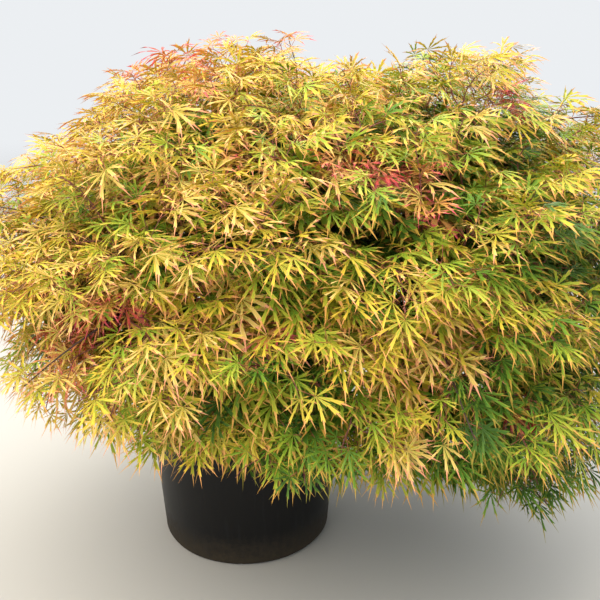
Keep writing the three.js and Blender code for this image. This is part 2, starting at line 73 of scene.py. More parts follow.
# %% Arrays to a finished piece
def unit(vectors):
    """Each vector divided by its own length."""
    return vectors / np.maximum(np.linalg.norm(vectors, axis=-1, keepdims=True), 1e-12)


def put_in_scene(name, data):
    """An object at the origin that shows a mesh, a lamp or a camera."""
    shown = bpy.data.objects.new(name, data)
    bpy.context.scene.collection.objects.link(shown)
    return shown


def piece_from(name, points, faces, materials, nodes, choice=None, uv=None, smooth=True):
    """A mesh object from points (n, 3) and a list of face arrays, each (m, 3) or (m, 4).
    choice gives each face its material, and uv (n, 2) is laid on the face corners."""
    mesh = bpy.data.meshes.new(name)
    corners = np.concatenate([block.ravel() for block in faces]).astype(np.int32)
    sizes = np.concatenate([np.full(len(block), block.shape[1]) for block in faces])
    mesh.vertices.add(len(points))
    mesh.vertices.foreach_set("co", np.asarray(points, np.float32).ravel())
    mesh.loops.add(len(corners))
    mesh.loops.foreach_set("vertex_index", corners)
    mesh.polygons.add(len(sizes))
    mesh.polygons.foreach_set("loop_start", (np.cumsum(sizes) - sizes).astype(np.int32))
    mesh.polygons.foreach_set("use_smooth", np.full(len(sizes), smooth))
    for material in materials:
        mesh.materials.append(material)
    if choice is not None:
        mesh.polygons.foreach_set("material_index", np.asarray(choice, np.int32))
    if uv is not None:
        layer = mesh.uv_layers.new(name="along_grain")
        layer.data.foreach_set("uv", np.asarray(uv, np.float32)[corners].ravel())
    mesh.update(calc_edges=True)
    mesh.validate()
    piece = put_in_scene(name, mesh)
    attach(piece, "root")
    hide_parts(*nodes)
    print(f"{name}: {len(points)} points, {(sizes - 2).sum()} triangles")


# %% [markdown]
# ## Repeatable chance
# A plant is irregular, but the lesson has to give the same plant every time. A small hash turns
# any whole-number keys into a number from 0 to 1. The solid model deals its chances by the same
# rule, so the boughs here grow exactly where the solid ones are.

# %% Chance from whole-number keys
SEED = 20461


def chance(*keys):
    """Numbers from 0 to 1: each key in turn is mixed into a 32-bit value by a multiply and a
    shifted exclusive or, and the value is divided by its full range."""
    mixed = np.uint32(SEED)
    with np.errstate(over="ignore"):
        for key in keys:
            whole = np.asarray(key, np.int64).astype(np.uint32)
            mixed = (mixed ^ (whole + np.uint32(0x9E3779B9))) * np.uint32(0x85EBCA6B)
            mixed = mixed ^ (mixed >> np.uint32(13))
            mixed = mixed * np.uint32(0xC2B2AE35)
            mixed = mixed ^ (mixed >> np.uint32(16))
    return mixed / 2.0**32


def between(low, high, *keys):
    """A chance stretched from low to high."""
    return low + (high - low) * chance(*keys)


print("chance(1, 2) =", round(float(chance(1, 2)), 6))

# %% [markdown]
# ## The crown's space
# Seen from the front, the crown has an uneven outline: a bumpy dome above and a ragged skirt
# below. Seen from above it is a rounded oval. Both outlines come from the solid model's sizes,
# here in metres. The crown is the space between a lower and an upper surface over each place.

# %% Sizes of the plant
POT = dict(height=0.42, foot=0.22, rim=0.25, wall=0.004, floor=0.005, band=0.026, band_depth=0.007)
SOIL_HEIGHT, SOIL_GAP = 0.385, 0.0003
FORK = np.array([0.045, 0.006, 0.59])
TOP_OUTLINE = np.array([
    (-665, 730), (-640, 890), (-560, 990), (-470, 1010), (-385, 1075), (-250, 1190),
    (-140, 1240), (110, 1268), (300, 1225), (460, 1272), (620, 1230), (760, 1190),
    (890, 1095), (965, 950), (1000, 620),
]) / 1000
BOTTOM_OUTLINE = np.array([
    (-665, 730), (-610, 560), (-410, 460), (-250, 400), (60, 350), (170, 290), (300, 350),
    (450, 290), (650, 225), (760, 250), (880, 370), (965, 490), (1000, 620),
]) / 1000
CROWN_LEFT, CROWN_RIGHT = TOP_OUTLINE[0, 0], TOP_OUTLINE[-1, 0]
HALF_WIDTH, HALF_DEPTH = (CROWN_RIGHT - CROWN_LEFT) / 2, 0.73
HEART = np.array([0.165, 0.005, 0.7])
PLAN_POWER, DOME_POWER, SKIRT_POWER = 2.3, 2.4, 2.6


def rounded_off(share, power):
    """A superellipse: the height over a share of the half width, 1 in the middle and 0 at 1."""
    return (1 - np.minimum(share, 1) ** power) ** (1 / power)


def crown_span(x, y):
    """The crown's lower and upper surface over places in plan, and whether they are inside it:
    a straight rim from left to right, with a dome of the top outline above it and a skirt of
    the bottom outline below it, both rounded off towards the front and the back."""
    across = np.abs(x - (CROWN_LEFT + CROWN_RIGHT) / 2) / HALF_WIDTH
    depth = HALF_DEPTH * rounded_off(across, PLAN_POWER)
    share = np.abs(y - HEART[1]) / np.maximum(depth, 1e-9)
    rim = np.interp(x, *TOP_OUTLINE[[0, -1]].T)
    top = rim + (np.interp(x, *TOP_OUTLINE.T) - rim) * rounded_off(share, DOME_POWER)
    bottom = rim - (rim - np.interp(x, *BOTTOM_OUTLINE.T)) * rounded_off(share, SKIRT_POWER)
    return bottom, top, (across < 1) & (share < 1)


def inside_crown(points):
    """Whether each point lies between the crown's two surfaces."""
    bottom, top, within = crown_span(points[..., 0], points[..., 1])
    return within & (points[..., 2] >= bottom) & (points[..., 2] <= top)


def reach_of(points, farthest=12.0, halvings=22):
    """How far out each point lies, 0 at the heart and 1 at the surface: halving finds where the
    line from the heart through the point leaves the crown."""
    step = points - HEART
    near, far = np.zeros(len(points)), np.full(len(points), farthest)
    for _ in range(halvings):
        half = (near + far) / 2
        within = inside_crown(HEART + step * half[:, None])
        near, far = np.where(within, half, near), np.where(within, far, half)
    return 1 / far


print("crown spans", CROWN_LEFT, "to", CROWN_RIGHT, "m, height in the middle",
      np.round(crown_span(HEART[0], 0.0)[:2], 3))

# %% [markdown]
# ## Boughs and the masses that they carry
# Six main boughs leave the trunk round its fork, and each forks again into a low and a high
# side bough. Every bough points at the middle of one mass of foliage. The limbs are curves with
# a handle at each end, so that they leave steeply and level out, as a maple's do.

# %% Where limbs run
# each tier of masses: its shares outward and upward in the crown, and its turn in degrees
TIERS = dict(outer=(0.74, 0.66, 30), skirt=(0.74, 0.2, -7), top=(0.4, 0.8, 6))
# each kind of side bough: the tier that it serves and its share along the main bough
SIDE_BOUGHS = dict(low=("skirt", 0.42), high=("top", 0.56))
# main boughs: their number, the first one's bearing in degrees and their places on the trunk
BOUGHS, FIRST_BEARING, STARTS_ON_TRUNK = 6, 28, (0.97, 0.86, 0.75)
# how much of the way to its mass a bough runs, and each limb's radius at its start and its end
BOUGH_SHARE, SIDE_SHARE = 0.6, 0.62
TRUNK_RADII, BOUGH_RADII, SIDE_RADII = (0.029, 0.023), (0.0155, 0.0065), (0.009, 0.005)


def bezier(ends, shares):
    """Points of a cubic curve: its four points weighted by the share along, cubed at the ends
    and mixed three to one between."""
    s = np.asarray(shares)[..., None]
    a, b, c, d = ends
    return a * (1 - s) ** 3 + 3 * b * s * (1 - s) ** 2 + 3 * c * s**2 * (1 - s) + d * s**3


def lengths_along(path):
    """The length of a path up to each of its points: its chords added up."""
    chords = np.linalg.norm(np.diff(path, axis=0), axis=1)
    return np.concatenate([[0], np.cumsum(chords)])


def evenly_along(ends, shares):
    """Points at shares of a cubic curve's length: 200 short chords measure it."""
    steps = np.linspace(0, 1, 201)
    length = lengths_along(bezier(ends, steps))
    return bezier(ends, np.interp(np.asarray(shares) * length[-1], length, steps))


def heading_at(ends, share, step=1e-3):
    """The direction along a curve at a share of its length, from two points close by."""
    before, after = evenly_along(ends, [max(share - step, 0), min(share + step, 1)])
    return unit(after - before)


def mass_centre(tier, sector):
    """The middle of a mass: out from the crown's axis along a spoke, and up from the crown's
    lower surface by a share of its thickness there."""
    outward, upward, turn = TIERS[tier]
    degrees = FIRST_BEARING + sector * 360 / BOUGHS + turn + between(-7, 7, 1, sector, turn)
    angle = math.radians(degrees)
    x = HEART[0] + math.cos(angle) * HALF_WIDTH * outward
    y = HEART[1] + math.sin(angle) * HALF_DEPTH * outward
    bottom, top, _ = crown_span(x, y)
    upward += between(-0.03, 0.03, 2, sector, turn)
    return np.array([x, y, bottom + (top - bottom) * upward])


def bough_curve(start, lift, centre, share):
    """A cubic curve from its start over a share of the way to a mass: its first handle, 0.4 of
    its reach, follows the lift, and its last one, 0.35 of it, the way to the mass, flattened."""
    tip = start + (centre - start) * share
    length = np.linalg.norm(tip - start)
    inward = unit(centre - start) * [1, 1, 0.35]
    return np.array([start, start + unit(lift) * length * 0.4,
                     tip - unit(inward) * length * 0.35, tip])


trunk_curve = np.array([[0, 0, SOIL_HEIGHT + SOIL_GAP], [0, 0, SOIL_HEIGHT + 0.075],
                        FORK - [0.022, 0.004, 0.07], FORK])
limbs = {"trunk": (trunk_curve, *TRUNK_RADII)}
masses = {}
for sector in range(BOUGHS):
    centre = mass_centre("outer", sector)
    start = evenly_along(trunk_curve, [STARTS_ON_TRUNK[sector % 3]])[0]
    lift = unit((centre - start) * [1, 1, 0])
    lift[2] = between(0.7, 1.15, 3, sector)
    limbs[f"bough_{sector + 1}"] = (bough_curve(start, lift, centre, BOUGH_SHARE), *BOUGH_RADII)
    masses[f"foliage_outer_{sector + 1}"] = (centre, f"bough_{sector + 1}")
for side, (tier, share) in SIDE_BOUGHS.items():
    for sector in range(BOUGHS):
        main = limbs[f"bough_{sector + 1}"][0]
        centre = mass_centre(tier, sector)
        start = evenly_along(main, [share])[0]
        lift = heading_at(main, share) * 0.4 + unit(centre - start) * 0.6
        name = f"bough_{sector + 1}_{side}"
        limbs[name] = (bough_curve(start, lift, centre, SIDE_SHARE), *SIDE_RADII)
        masses[f"foliage_{tier}_{sector + 1}"] = (centre, name)
mass_names = sorted(masses)
mass_centres = np.array([masses[name][0] for name in mass_names])
solid_centres = np.array([np.mean(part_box(name), axis=0) for name in mass_names])
gap = np.linalg.norm(solid_centres - mass_centres, axis=1).max()
print(len(limbs), "limbs and", len(masses), "masses, within", round(gap, 3), "m of the solid ones")

# %% [markdown]
# ## Colours and materials
# Colours are written as the hex values that a screen shows and turned to linear light once,
# here. A material is a short list of nodes: one helper adds a node with its settings and its
# links, so that each finish below reads from top to bottom.

# %% Colour and node helpers
def linear(code):
    """A linear colour from sRGB hex: each channel under 0.04045 is divided by 12.92, and the
    rest follow the 2.4 power curve."""
    channels = np.array([int(code[i:i + 2], 16) for i in (0, 2, 4)]) / 255
    curve = np.where(channels <= 0.04045, channels / 12.92, ((channels + 0.055) / 1.055) ** 2.4)
    return (*curve, 1.0)


def new_material(name, **settings):
    """A Principled material with sockets set by name, its tree and its shader."""
    material = bpy.data.materials.new(name)
    material.use_nodes = True
    shader = material.node_tree.nodes["Principled BSDF"]
    for socket, value in settings.items():
        shader.inputs[socket.replace("_", " ")].default_value = value
    return material, material.node_tree, shader


def add_node(tree, kind, inputs=(), stops=(), **settings):
    """One node. Settings are its own properties. An input is given a value, or is linked if it
    is given an output or a node, which stands for its first output. Stops are the places and
    colours of a ramp, and a colour is a hex value or a number for a grey."""
    node = tree.nodes.new("ShaderNode" + kind)
    for key, value in settings.items():
        setattr(node, key, value)
    for key, given in dict(inputs).items():
        if isinstance(given, bpy.types.Node):
            given = given.outputs[0]
        if isinstance(given, bpy.types.NodeSocket):
            tree.links.new(given, node.inputs[key])
        else:
            node.inputs[key].default_value = given
    if stops:
        elements = node.color_ramp.elements
        while len(elements) < len(stops):
            elements.new(0.5)
        for element, (place, colour) in zip(elements, stops):
            element.position = place
            element.color = linear(colour) if isinstance(colour, str) else (colour,) * 3 + (1,)
    return node


print("hex 808080 is", round(linear("808080")[0], 3), "in linear light")

# %% [markdown]
# ## Bark
# A young maple's bark is smooth and grey-brown, with fine cracks that open along the stem and
# small raised breathing pores. The cracks follow the stem, so the pattern is laid on a map that
# runs round and along each limb in metres. Bark is rough and dry: roughness about 0.8.

# %% Maple bark: smooth, finely fissured along the stem
def maple_bark():
    """Patches of brown and grey about 36 mm across, cracks 2.4 mm apart that are stretched ten
    to one along the limb, and pores 6 mm apart, all coarser than life so that they show."""
    material, tree, shader = new_material("young_maple_bark", Roughness=0.82, IOR=1.45)
    along = add_node(tree, "UVMap", uv_map="along_grain")
    place = add_node(tree, "TexCoord").outputs["Object"]
    stretched = add_node(tree, "Mapping", {"Vector": along, "Scale": (1, 0.1, 1)})
    cracks = add_node(tree, "TexNoise",
                      {"Vector": stretched, "Scale": 420, "Detail": 6, "Roughness": 0.65})
    patches = add_node(tree, "TexNoise", {"Vector": place, "Scale": 28, "Detail": 4})
    pores = add_node(tree, "TexVoronoi", {"Vector": along, "Scale": 160})
    tone = add_node(tree, "ValToRGB", {"Fac": patches},
                    [(0.32, "4A3A30"), (0.52, "6F5C4D"), (0.7, "8C8072")])
    dark = add_node(tree, "ValToRGB", {"Fac": cracks}, [(0.36, "5A4C44"), (0.56, "FFFFFF")])
    worn = add_node(tree, "Mix", {0: 0.8, 6: tone, 7: dark}, data_type="RGBA",
                    blend_type="MULTIPLY")
    tree.links.new(worn.outputs[2], shader.inputs["Base Color"])
    raised = add_node(tree, "ValToRGB", {"Fac": pores}, [(0.08, 1), (0.2, 0)])
    relief = add_node(tree, "Math", {0: raised, 1: 0.35, 2: cracks}, operation="MULTIPLY_ADD")
    bump = add_node(tree, "Bump", {"Height": relief, "Strength": 0.7, "Distance": 0.0012})
    tree.links.new(bump.outputs["Normal"], shader.inputs["Normal"])
    return material


bark = maple_bark()
print(bark.name, "has", len(bark.node_tree.nodes), "nodes")

# %% [markdown]
# ## Trunk and boughs
# A limb is a round section carried along its curve. On the real plant it is never quite round:
# the trunk flares into shallow buttresses at the soil, a collar swells where a bough leaves, and
# the skin ripples. So the radius is a function of the angle round and the length along.

# %% Limbs with a living surface
def rippled(angle, along, key, waves=26):
    """Smooth relief between about -1 and 1: a sum of waves, each with 1 to 12 whole crests
    round the limb and its own run along it, weaker by the 0.7 power of its crests."""
    index = np.arange(waves)
    crests = np.floor(between(1, 13, 41, key, index))
    runs = between(-55, 55, 42, key, index)
    phase = between(0, 2 * math.pi, 43, key, index)
    waves_at = np.cos(crests * angle[..., None] + runs * along[..., None] + phase)
    return (waves_at / crests**0.7).sum(-1) / (1 / crests**0.7).sum() * 2.2


def carried_frames(points):
    """Two directions square to a path at each point: each pair is the one before it, leaned
    with the path, so the section never twists."""
    headings = unit(np.gradient(points, axis=0))
    spoke = unit(np.cross(headings[0], [0.3, 1, 0.1]))
    spokes = []
    for heading in headings:
        spoke = unit(spoke - heading * (spoke @ heading))
        spokes.append(spoke)
    spokes = np.array(spokes)
    return spokes, np.cross(headings, spokes)


def copies(faces, count, step):
    """The faces of many like shapes: each shape's point numbers go on by a step."""
    return (faces + (np.arange(count) * step)[:, None, None]).reshape(-1, faces.shape[-1])


def closed_grid(rings, sides):
    """Quads between rings of points that close round, and fans that close its two ends on the
    two points that follow the rings."""
    here, last = np.arange(sides), (rings - 1) * sides
    after, pole = (here + 1) % sides, np.full(sides, rings * sides)
    quads = copies(np.stack([here, after, after + sides, here + sides], -1), rings - 1, sides)
    start_fan = np.stack([pole, after, here], -1)
    end_fan = np.stack([pole + 1, last + here, last + after], -1)
    return quads, np.concatenate([start_fan, end_fan])


def limb_surface(curve, radius_at, rings, sides):
    """The points, faces and map of a limb: a closed section of given radius at every angle and
    length, carried along the curve, with a pole at each end."""
    shares = np.linspace(0, 1, rings)
    path = evenly_along(curve, shares)
    length = lengths_along(path)
    spokes, across = carried_frames(path)
    angle, along = np.meshgrid(np.linspace(0, 2 * math.pi, sides, endpoint=False), length)
    radius = radius_at(angle, along, length[-1])[..., None]
    ring = spokes[:, None] * np.cos(angle)[..., None] + across[:, None] * np.sin(angle)[..., None]
    points = np.concatenate([(path[:, None] + ring * radius).reshape(-1, 3), path[:1], path[-1:]])
    uv = np.stack([angle * radius.mean(), along], -1).reshape(-1, 2)
    uv = np.concatenate([uv, [[0, 0], [0, length[-1]]]])
    return points, *closed_grid(rings, sides), uv


def trunk_radius(angle, along, length):
    """The trunk's taper, plus a flare of 19 mm with five buttresses of 7 mm that fades over 34 mm
    of height, plus 1.2 mm of ripple."""
    thick, thin = TRUNK_RADII
    taper = thick + (thin - thick) * along / length
    flare = (0.019 + 0.007 * np.cos(5 * angle + 0.8)) * np.exp(-along / 0.034)
    return taper + flare + 0.0012 * rippled(angle, along, 0)


def bough_radius(key, thick, thin):
    """A bough's radius at each angle and length: a straight taper, a collar of a third more at
    the start, and ripple of 4%."""
    def radius(angle, along, length):
        taper = thick + (thin - thick) * along / length
        collar = 0.33 * np.exp(-along / (thick * 1.6))
        return taper * (1 + collar + 0.04 * rippled(angle, along, key))
    return radius


points, quads, fans, uv = limb_surface(trunk_curve, trunk_radius, rings=120, sides=96)
piece_from("trunk_bark", points, [quads, fans], [bark], ["trunk"], uv=uv)
bough_names = [name for name in limbs if name != "trunk"]
points, quads, fans, uv = zip(*[
    limb_surface(limbs[name][0], bough_radius(key, *limbs[name][1:]), rings=64, sides=28)
    for key, name in enumerate(bough_names, 1)])
faces = [copies(part[0], len(points), len(points[0])) for part in (quads, fans)]
piece_from("boughs_bark", np.concatenate(points), faces, [bark], bough_names,
           uv=np.concatenate(uv))

# %% [markdown]
# ## Where the sprays stand
# A spray is the leafy end of one shoot. On the plant the sprays crowd towards the light, in a
# deep shell under the crown's surface, and leave the middle open. So places are tried by chance
# all through the crown, and one is kept if it lies in that shell and not too near another. A
# Japanese maple holds its sprays in flat shelves with shade between, so the shell's outer limit
# waves in and out, quickly with the height and slowly along the crown.

# %% Spray places, well spaced in the outer shell
SPRAY_SPACING = 0.062
# the shell, as shares of the way from the heart to the surface
INNER_REACH, OUTER_REACH, SHELF_DEPTH = 0.5, 0.918, 0.075
LOWEST, HIGHEST = 0.22, 1.275
# under the heart the crown is open: this far below it, in this share of the crown's half width
OPEN_BELOW, OPEN_SHARE = 0.04, 0.6
POT_CLEARANCE, LIMB_CLEARANCE = 0.014, 0.012


def shelves(points):
    """Waves from -1 to 1 in space: a sum of 12 cosines, 0.4 to 0.7 m long on the level and
    0.2 to 0.3 m upwards."""
    index = np.arange(12)
    turned = between(0, 2 * math.pi, 54, index)
    pace = 2 * math.pi / between(0.4, 0.7, 55, index)
    rise = 2 * math.pi / between(0.2, 0.3, 56, index)
    waves = np.stack([pace * np.cos(turned), pace * np.sin(turned), rise], -1)
    total = np.cos(points @ waves.T + between(0, 2 * math.pi, 57, index)).sum(-1)
    return np.clip(total / 3.5, -1, 1)


def limb_samples(count=33):
    """Points along every limb, with the limb's radius there."""
    shares = np.linspace(0, 1, count)
    places = np.concatenate([evenly_along(curve, shares) for curve, _, _ in limbs.values()])
    radii = np.concatenate([thick + (thin - thick) * shares for _, thick, thin in limbs.values()])
    return places, radii


limb_places, limb_radii = limb_samples()


def clear_of_limbs(points, margin):
    """Whether each point keeps a margin from the skin of every limb."""
    away = np.linalg.norm(points[..., None, :] - limb_places, axis=-1) - limb_radii
    return away.min(-1) > margin


def clear_of_pot(points):
    """Whether each point is beside the pot or above its rim by the clearance."""
    farthest = POT["rim"] + POT["band_depth"] + POT_CLEARANCE
    beside = np.hypot(points[..., 0], points[..., 1]) > farthest
    return beside | (points[..., 2] > POT["height"] + POT_CLEARANCE)


def spaced_sprays(tries):
    """Places kept in turn, each at least the spacing from all that were kept before."""
    index = np.arange(tries)
    places = np.stack([between(CROWN_LEFT, CROWN_RIGHT, 51, index),
                       HEART[1] + between(-HALF_DEPTH, HALF_DEPTH, 52, index),
                       between(LOWEST, HIGHEST, 53, index)], -1)
    places = places[inside_crown(places)]
    reach = reach_of(places)
    out = np.hypot((places[:, 0] - HEART[0]) / HALF_WIDTH, places[:, 1] / HALF_DEPTH)
    underneath = (places[:, 2] < HEART[2] - OPEN_BELOW) & (out < OPEN_SHARE)
    limit = OUTER_REACH + SHELF_DEPTH * shelves(places)
    good = (reach > INNER_REACH) & (reach < limit) & ~underneath
    places = places[good & clear_of_pot(places) & clear_of_limbs(places, LIMB_CLEARANCE)]
    kept = places[:1]
    for place in places[1:]:
        if np.linalg.norm(kept - place, axis=1).min() > SPRAY_SPACING:
            kept = np.concatenate([kept, place[None]])
    return kept


sprays = spaced_sprays(tries=100_000)
spray_mass = np.linalg.norm(sprays[:, None] - mass_centres, axis=-1).argmin(1)
print(len(sprays), "sprays,", np.bincount(spray_mass).tolist(), "to a mass")

# %% [markdown]
# ## Twigs
# Each mass has one stem that goes on from its bough's tip, and every spray's shoot leaves an
# earlier shoot where that makes the shortest way back. It leaves along its bearer, arches, and
# droops at its end. Shoots thicken as they carry more, by the square root of their load.

# %% Grow the twigs of every mass
STEM_LENGTH, LEAST_LENGTH = 0.07, 0.04
# the radius at a tip, how much a shoot swells at its start, and the most of its bearer's radius
TIP_RADIUS, SWELL, MOST_OF_BEARER = 0.0011, 1.15, 0.8
# costs: a share of the way back to the bough, and one that rules a place out, as where the
# bearer heads away from the tip, by the cosine between them
WAY_BACK, NEVER, AWAY = 0.3, 9, -0.2
# places tried for a shoot, its gap to the limbs, and its handles as a share of its reach
TRIES, SHOOT_CLEARANCE, HANDLE = 8, 0.004, 0.35
# a shoot has eight rings, and others may leave it at some of them
RINGS, STEM_PLACES, PLACES = 8, [2, 4, 6, 7], [2, 3, 4, 5]


def lowness(height, top, depth):
    """How low a height lies: 0 above the top, growing evenly to 1 at the depth below it."""
    return np.clip((top - height) / depth, 0, 1)


def shoot_curve(start, bearing, tip):
    """A shoot's points on a cubic curve. It leaves by a mix of its bearer's heading, the way to
    its tip and up, and comes to its tip by a mix of the same way, outwards and down, with more
    of down the lower the tip is."""
    reach = tip - start
    length = np.linalg.norm(reach)
    ahead = unit(reach)
    outward = unit((tip - HEART) * [1, 1, 0])
    steep = lowness(tip[2], top=0.86, depth=0.4)
    leave = unit(bearing * 0.5 + ahead * 0.7 + [0, 0, 0.3])
    arrive = unit(ahead * 0.7 + outward * 0.5 - np.array([0, 0, 0.15 + 0.6 * steep]))
    ends = [start, start + leave * length * HANDLE, tip - arrive * length * HANDLE, tip]
    return evenly_along(np.array(ends), np.linspace(0, 1, RINGS))


def growth_order(tips, root, first=4):
    """A few far tips that spread wide, then the rest from the root outward."""
    order, distance = [], np.linalg.norm(tips - root, axis=1)
    spread = distance.copy()
    for _ in range(min(first, len(tips))):
        order.append(int(spread.argmax()))
        spread = np.minimum(spread, np.linalg.norm(tips - tips[order[-1]], axis=1))
    return order + [int(i) for i in distance.argsort() if i not in order]


def grow_mass(name, tips):
    """The shoots of one mass, the stem first: their points and their radii at the start and the
    end. A shoot takes the cheapest free place, by its own length and 0.3 of the way back."""
    curve, _, bough_tip = limbs[masses[name][1]]
    heading = heading_at(curve, 1)
    stem = curve[3] + heading * np.linspace(0, STEM_LENGTH, RINGS)[:, None]
    shoots, parents, shares, ways = [stem], [-1], [0.0], [0.0]
    places = stem[STEM_PLACES]
    bearings = np.tile(heading, (len(places), 1))
    owners, spots = np.zeros(len(places), int), np.array(STEM_PLACES)
    for i in growth_order(tips, curve[3]):
        step = tips[i] - places
        length = np.linalg.norm(step, axis=1)
        back = np.array([ways[o] + np.linalg.norm(shoots[o][s] - shoots[o][0])
                         for o, s in zip(owners, spots)])
        behind = (unit(step) * bearings).sum(1) < AWAY
        cost = length + WAY_BACK * back + NEVER * behind + NEVER * (length < LEAST_LENGTH)
        for best in cost.argsort()[:TRIES]:
            shoot = shoot_curve(places[best], bearings[best], tips[i])
            if clear_of_limbs(shoot[3:], SHOOT_CLEARANCE).all():
                break
        else:
            continue
        if cost[best] > NEVER:
            continue
        parents.append(owners[best])
        shares.append(spots[best] / (RINGS - 1))
        ways.append(back[best])
        fresh = (shoot[PLACES], unit(np.gradient(shoot, axis=0))[PLACES],
                 np.full(len(PLACES), len(shoots)), PLACES)
        places, bearings, owners, spots = (
            np.concatenate([np.delete(free, best, 0), new])
            for free, new in zip((places, bearings, owners, spots), fresh))
        shoots.append(shoot)
    load = np.ones(len(shoots))
    for child in range(len(shoots) - 1, 0, -1):
        load[parents[child]] += load[child]
    starts = np.full(len(shoots), bough_tip)
    ends = np.full(len(shoots), TIP_RADIUS)
    ends[0] = bough_tip * MOST_OF_BEARER
    for child in range(1, len(shoots)):
        thick, thin = starts[parents[child]], ends[parents[child]]
        bearer = thick + (thin - thick) * shares[child]
        starts[child] = min(TIP_RADIUS * load[child] ** 0.5 * SWELL, bearer * MOST_OF_BEARER)
    return np.array(shoots), starts, np.minimum(ends, starts)


grown = {name: grow_mass(name, sprays[spray_mass == number])
         for number, name in enumerate(mass_names)}
print(sum(len(g[0]) for g in grown.values()), "shoots")

# %% [markdown]
# ## A cut leaf
# The leaf has seven long, narrow lobes that spread from the end of its stalk like a hand's
# fingers, the side ones shorter. A cut-leaved maple's lobes are cut again into teeth that point
# forward, and arch down to a fine tip. The leaf could be painted on a card, but a real outline
# stays sharp and solid from every side. So each lobe is seven small faces: a narrow strip, two
# teeth on each side of it, and a point.

# %% The leaf's outline, one lobe at a time
LOBE_DEGREES = np.array([0, 32, -32, 68, -68, 112, -112])
LOBE_LENGTHS = np.array([1, 0.95, 0.95, 0.8, 0.8, 0.5, 0.5])
NOTCHES = np.array([0.38, 0.66])
NOTCH_WIDTHS = np.array([1.0, 0.85])
TEETH = np.array([0.44, 0.72])
TOOTH_WIDTHS = np.array([0.95, 0.85])
LEAF_LENGTH = 0.061
# how far a side lobe curls back, in radians, and how far left points stand ahead and right ones
# behind, as a share of the lobe
CURL, STAGGER = 0.16, 0.035
LOBE_POINTS = 2 * len(NOTCHES) + 2 * len(TEETH) + 1
LEAF_POINTS = 1 + LOBE_POINTS * len(LOBE_DEGREES)


def leaf_faces():
    """The leaf's triangles and quads by point number, and each face's zone: 0 at the heart, 1
    and 2 along the lobe and 3 at its tip, where a tooth takes the zone after its strip's. A
    lobe's points are the left and right ones of two notches, then of two teeth, then its tip."""
    triangles, quads = [], []
    for lobe in range(len(LOBE_DEGREES)):
        first = 1 + lobe * LOBE_POINTS
        near_left, near_right, far_left, far_right = range(first, first + 4)
        tooth = first + 4
        triangles += [(0, near_right, near_left), (0, near_left, tooth), (near_right, 0, tooth + 1),
                      (near_left, far_left, tooth + 2), (far_right, near_right, tooth + 3),
                      (far_left, far_right, tooth + 4)]
        quads.append((near_left, near_right, far_right, far_left))
    zones = np.tile([0, 1, 1, 2, 2, 3], len(LOBE_DEGREES))
    return np.array(triangles), np.array(quads), zones, np.ones(len(quads), int)


leaf_triangles, leaf_quads, triangle_zones, quad_zones = leaf_faces()


def leaf_surface(base, main, normal, length, strip, width, droop, fold, keys):
    """All leaves at once. A lobe's middle line runs out from the base at its own angle and
    drops by droop times the square of the share along, and a side lobe curls back by the same
    square. Notches stand off by the strip's half width and teeth by the lobe's, and the teeth
    rise by the fold. Arrays are (leaf, lobe, station, side, 3)."""
    side = np.cross(normal, main)
    lobes = np.arange(len(LOBE_DEGREES))
    stray = between(-9, 9, 61, keys[:, None], lobes)
    angle = np.radians(LOBE_DEGREES + stray)[..., None]
    reach = length[:, None] * LOBE_LENGTHS * between(0.86, 1.1, 62, keys[:, None], lobes)
    main, side, upright = (part[:, None, None] for part in (main, side, normal))
    sides = np.array([1.0, -1.0])[:, None]

    def edge(share, half, rise):
        """The two points of each station: at a share along, half a width off and risen."""
        bend = (angle + CURL * np.sin(angle) * share**2)[..., None]
        ahead = main * np.cos(bend) + side * np.sin(bend)
        across = side * np.cos(bend) - main * np.sin(bend)
        middle = base[:, None, None] + ahead * (reach[..., None] * share)[..., None]
        middle[..., 2] -= (droop[:, None] * reach)[..., None] * share**2
        off = (reach[..., None] * half[:, None])[..., None]
        middle += upright * off * rise[:, None, None, None]
        slip = ahead * STAGGER * reach[..., None, None]
        return middle[..., None, :] + (across * off + slip)[..., None, :] * sides

    flat = np.zeros(len(base))
    notches = edge(NOTCHES, strip[:, None] * NOTCH_WIDTHS, flat)
    teeth = edge(TEETH, width[:, None] * TOOTH_WIDTHS, fold)
    tips = edge(np.ones(1), np.zeros((len(base), 1)), flat).mean(3)
    blades = [part.reshape(len(base), len(lobes), -1, 3) for part in (notches, teeth, tips)]
    return np.concatenate([base[:, None], np.concatenate(blades, 2).reshape(len(base), -1, 3)], 1)


print("a leaf has", LEAF_POINTS, "points and", len(leaf_triangles) + len(leaf_quads), "faces")

# %% [markdown]
# ## Leaves on their shoots
# Maple leaves stand in opposite pairs, each pair turned from the one before. The pairs crowd
# towards the shoot's tip, so that a spray looks like a starburst. A leaf's blade faces up and
# outwards to the light, and its lobes hang outwards and down.

# %% Place every leaf
PAIRS_FROM_TIP = np.array([0.0, 0.014, 0.034, 0.062])


def along_shoot(shoot, distances):
    """Points and headings at distances back from a shoot's tip, on its last 72%. A heading
    comes from the point that lies 4 mm nearer to the shoot's start."""
    length = lengths_along(shoot)
    wanted = length[-1] - distances[distances < length[-1] * 0.72]
    places, before = (np.stack([np.interp(at, length, shoot[:, k]) for k in range(3)], -1)
                      for at in (wanted, wanted - 0.004))
    return places, unit(places - before)


def leaf_stand():
    """One row to a leaf: the node that it stands on, the shoot's heading, its pair's number,
    its side of the pair, its mass and its spray."""
    rows, spray = [], 0
    for number, name in enumerate(mass_names):
        for shoot in grown[name][0][1:]:
            places, headings = along_shoot(shoot, PAIRS_FROM_TIP)
            for pair, (place, heading) in enumerate(zip(places, headings)):
                rows += [(*place, *heading, pair, turn, number, spray) for turn in (-1, 1)]
            spray += 1
    return np.array(rows)


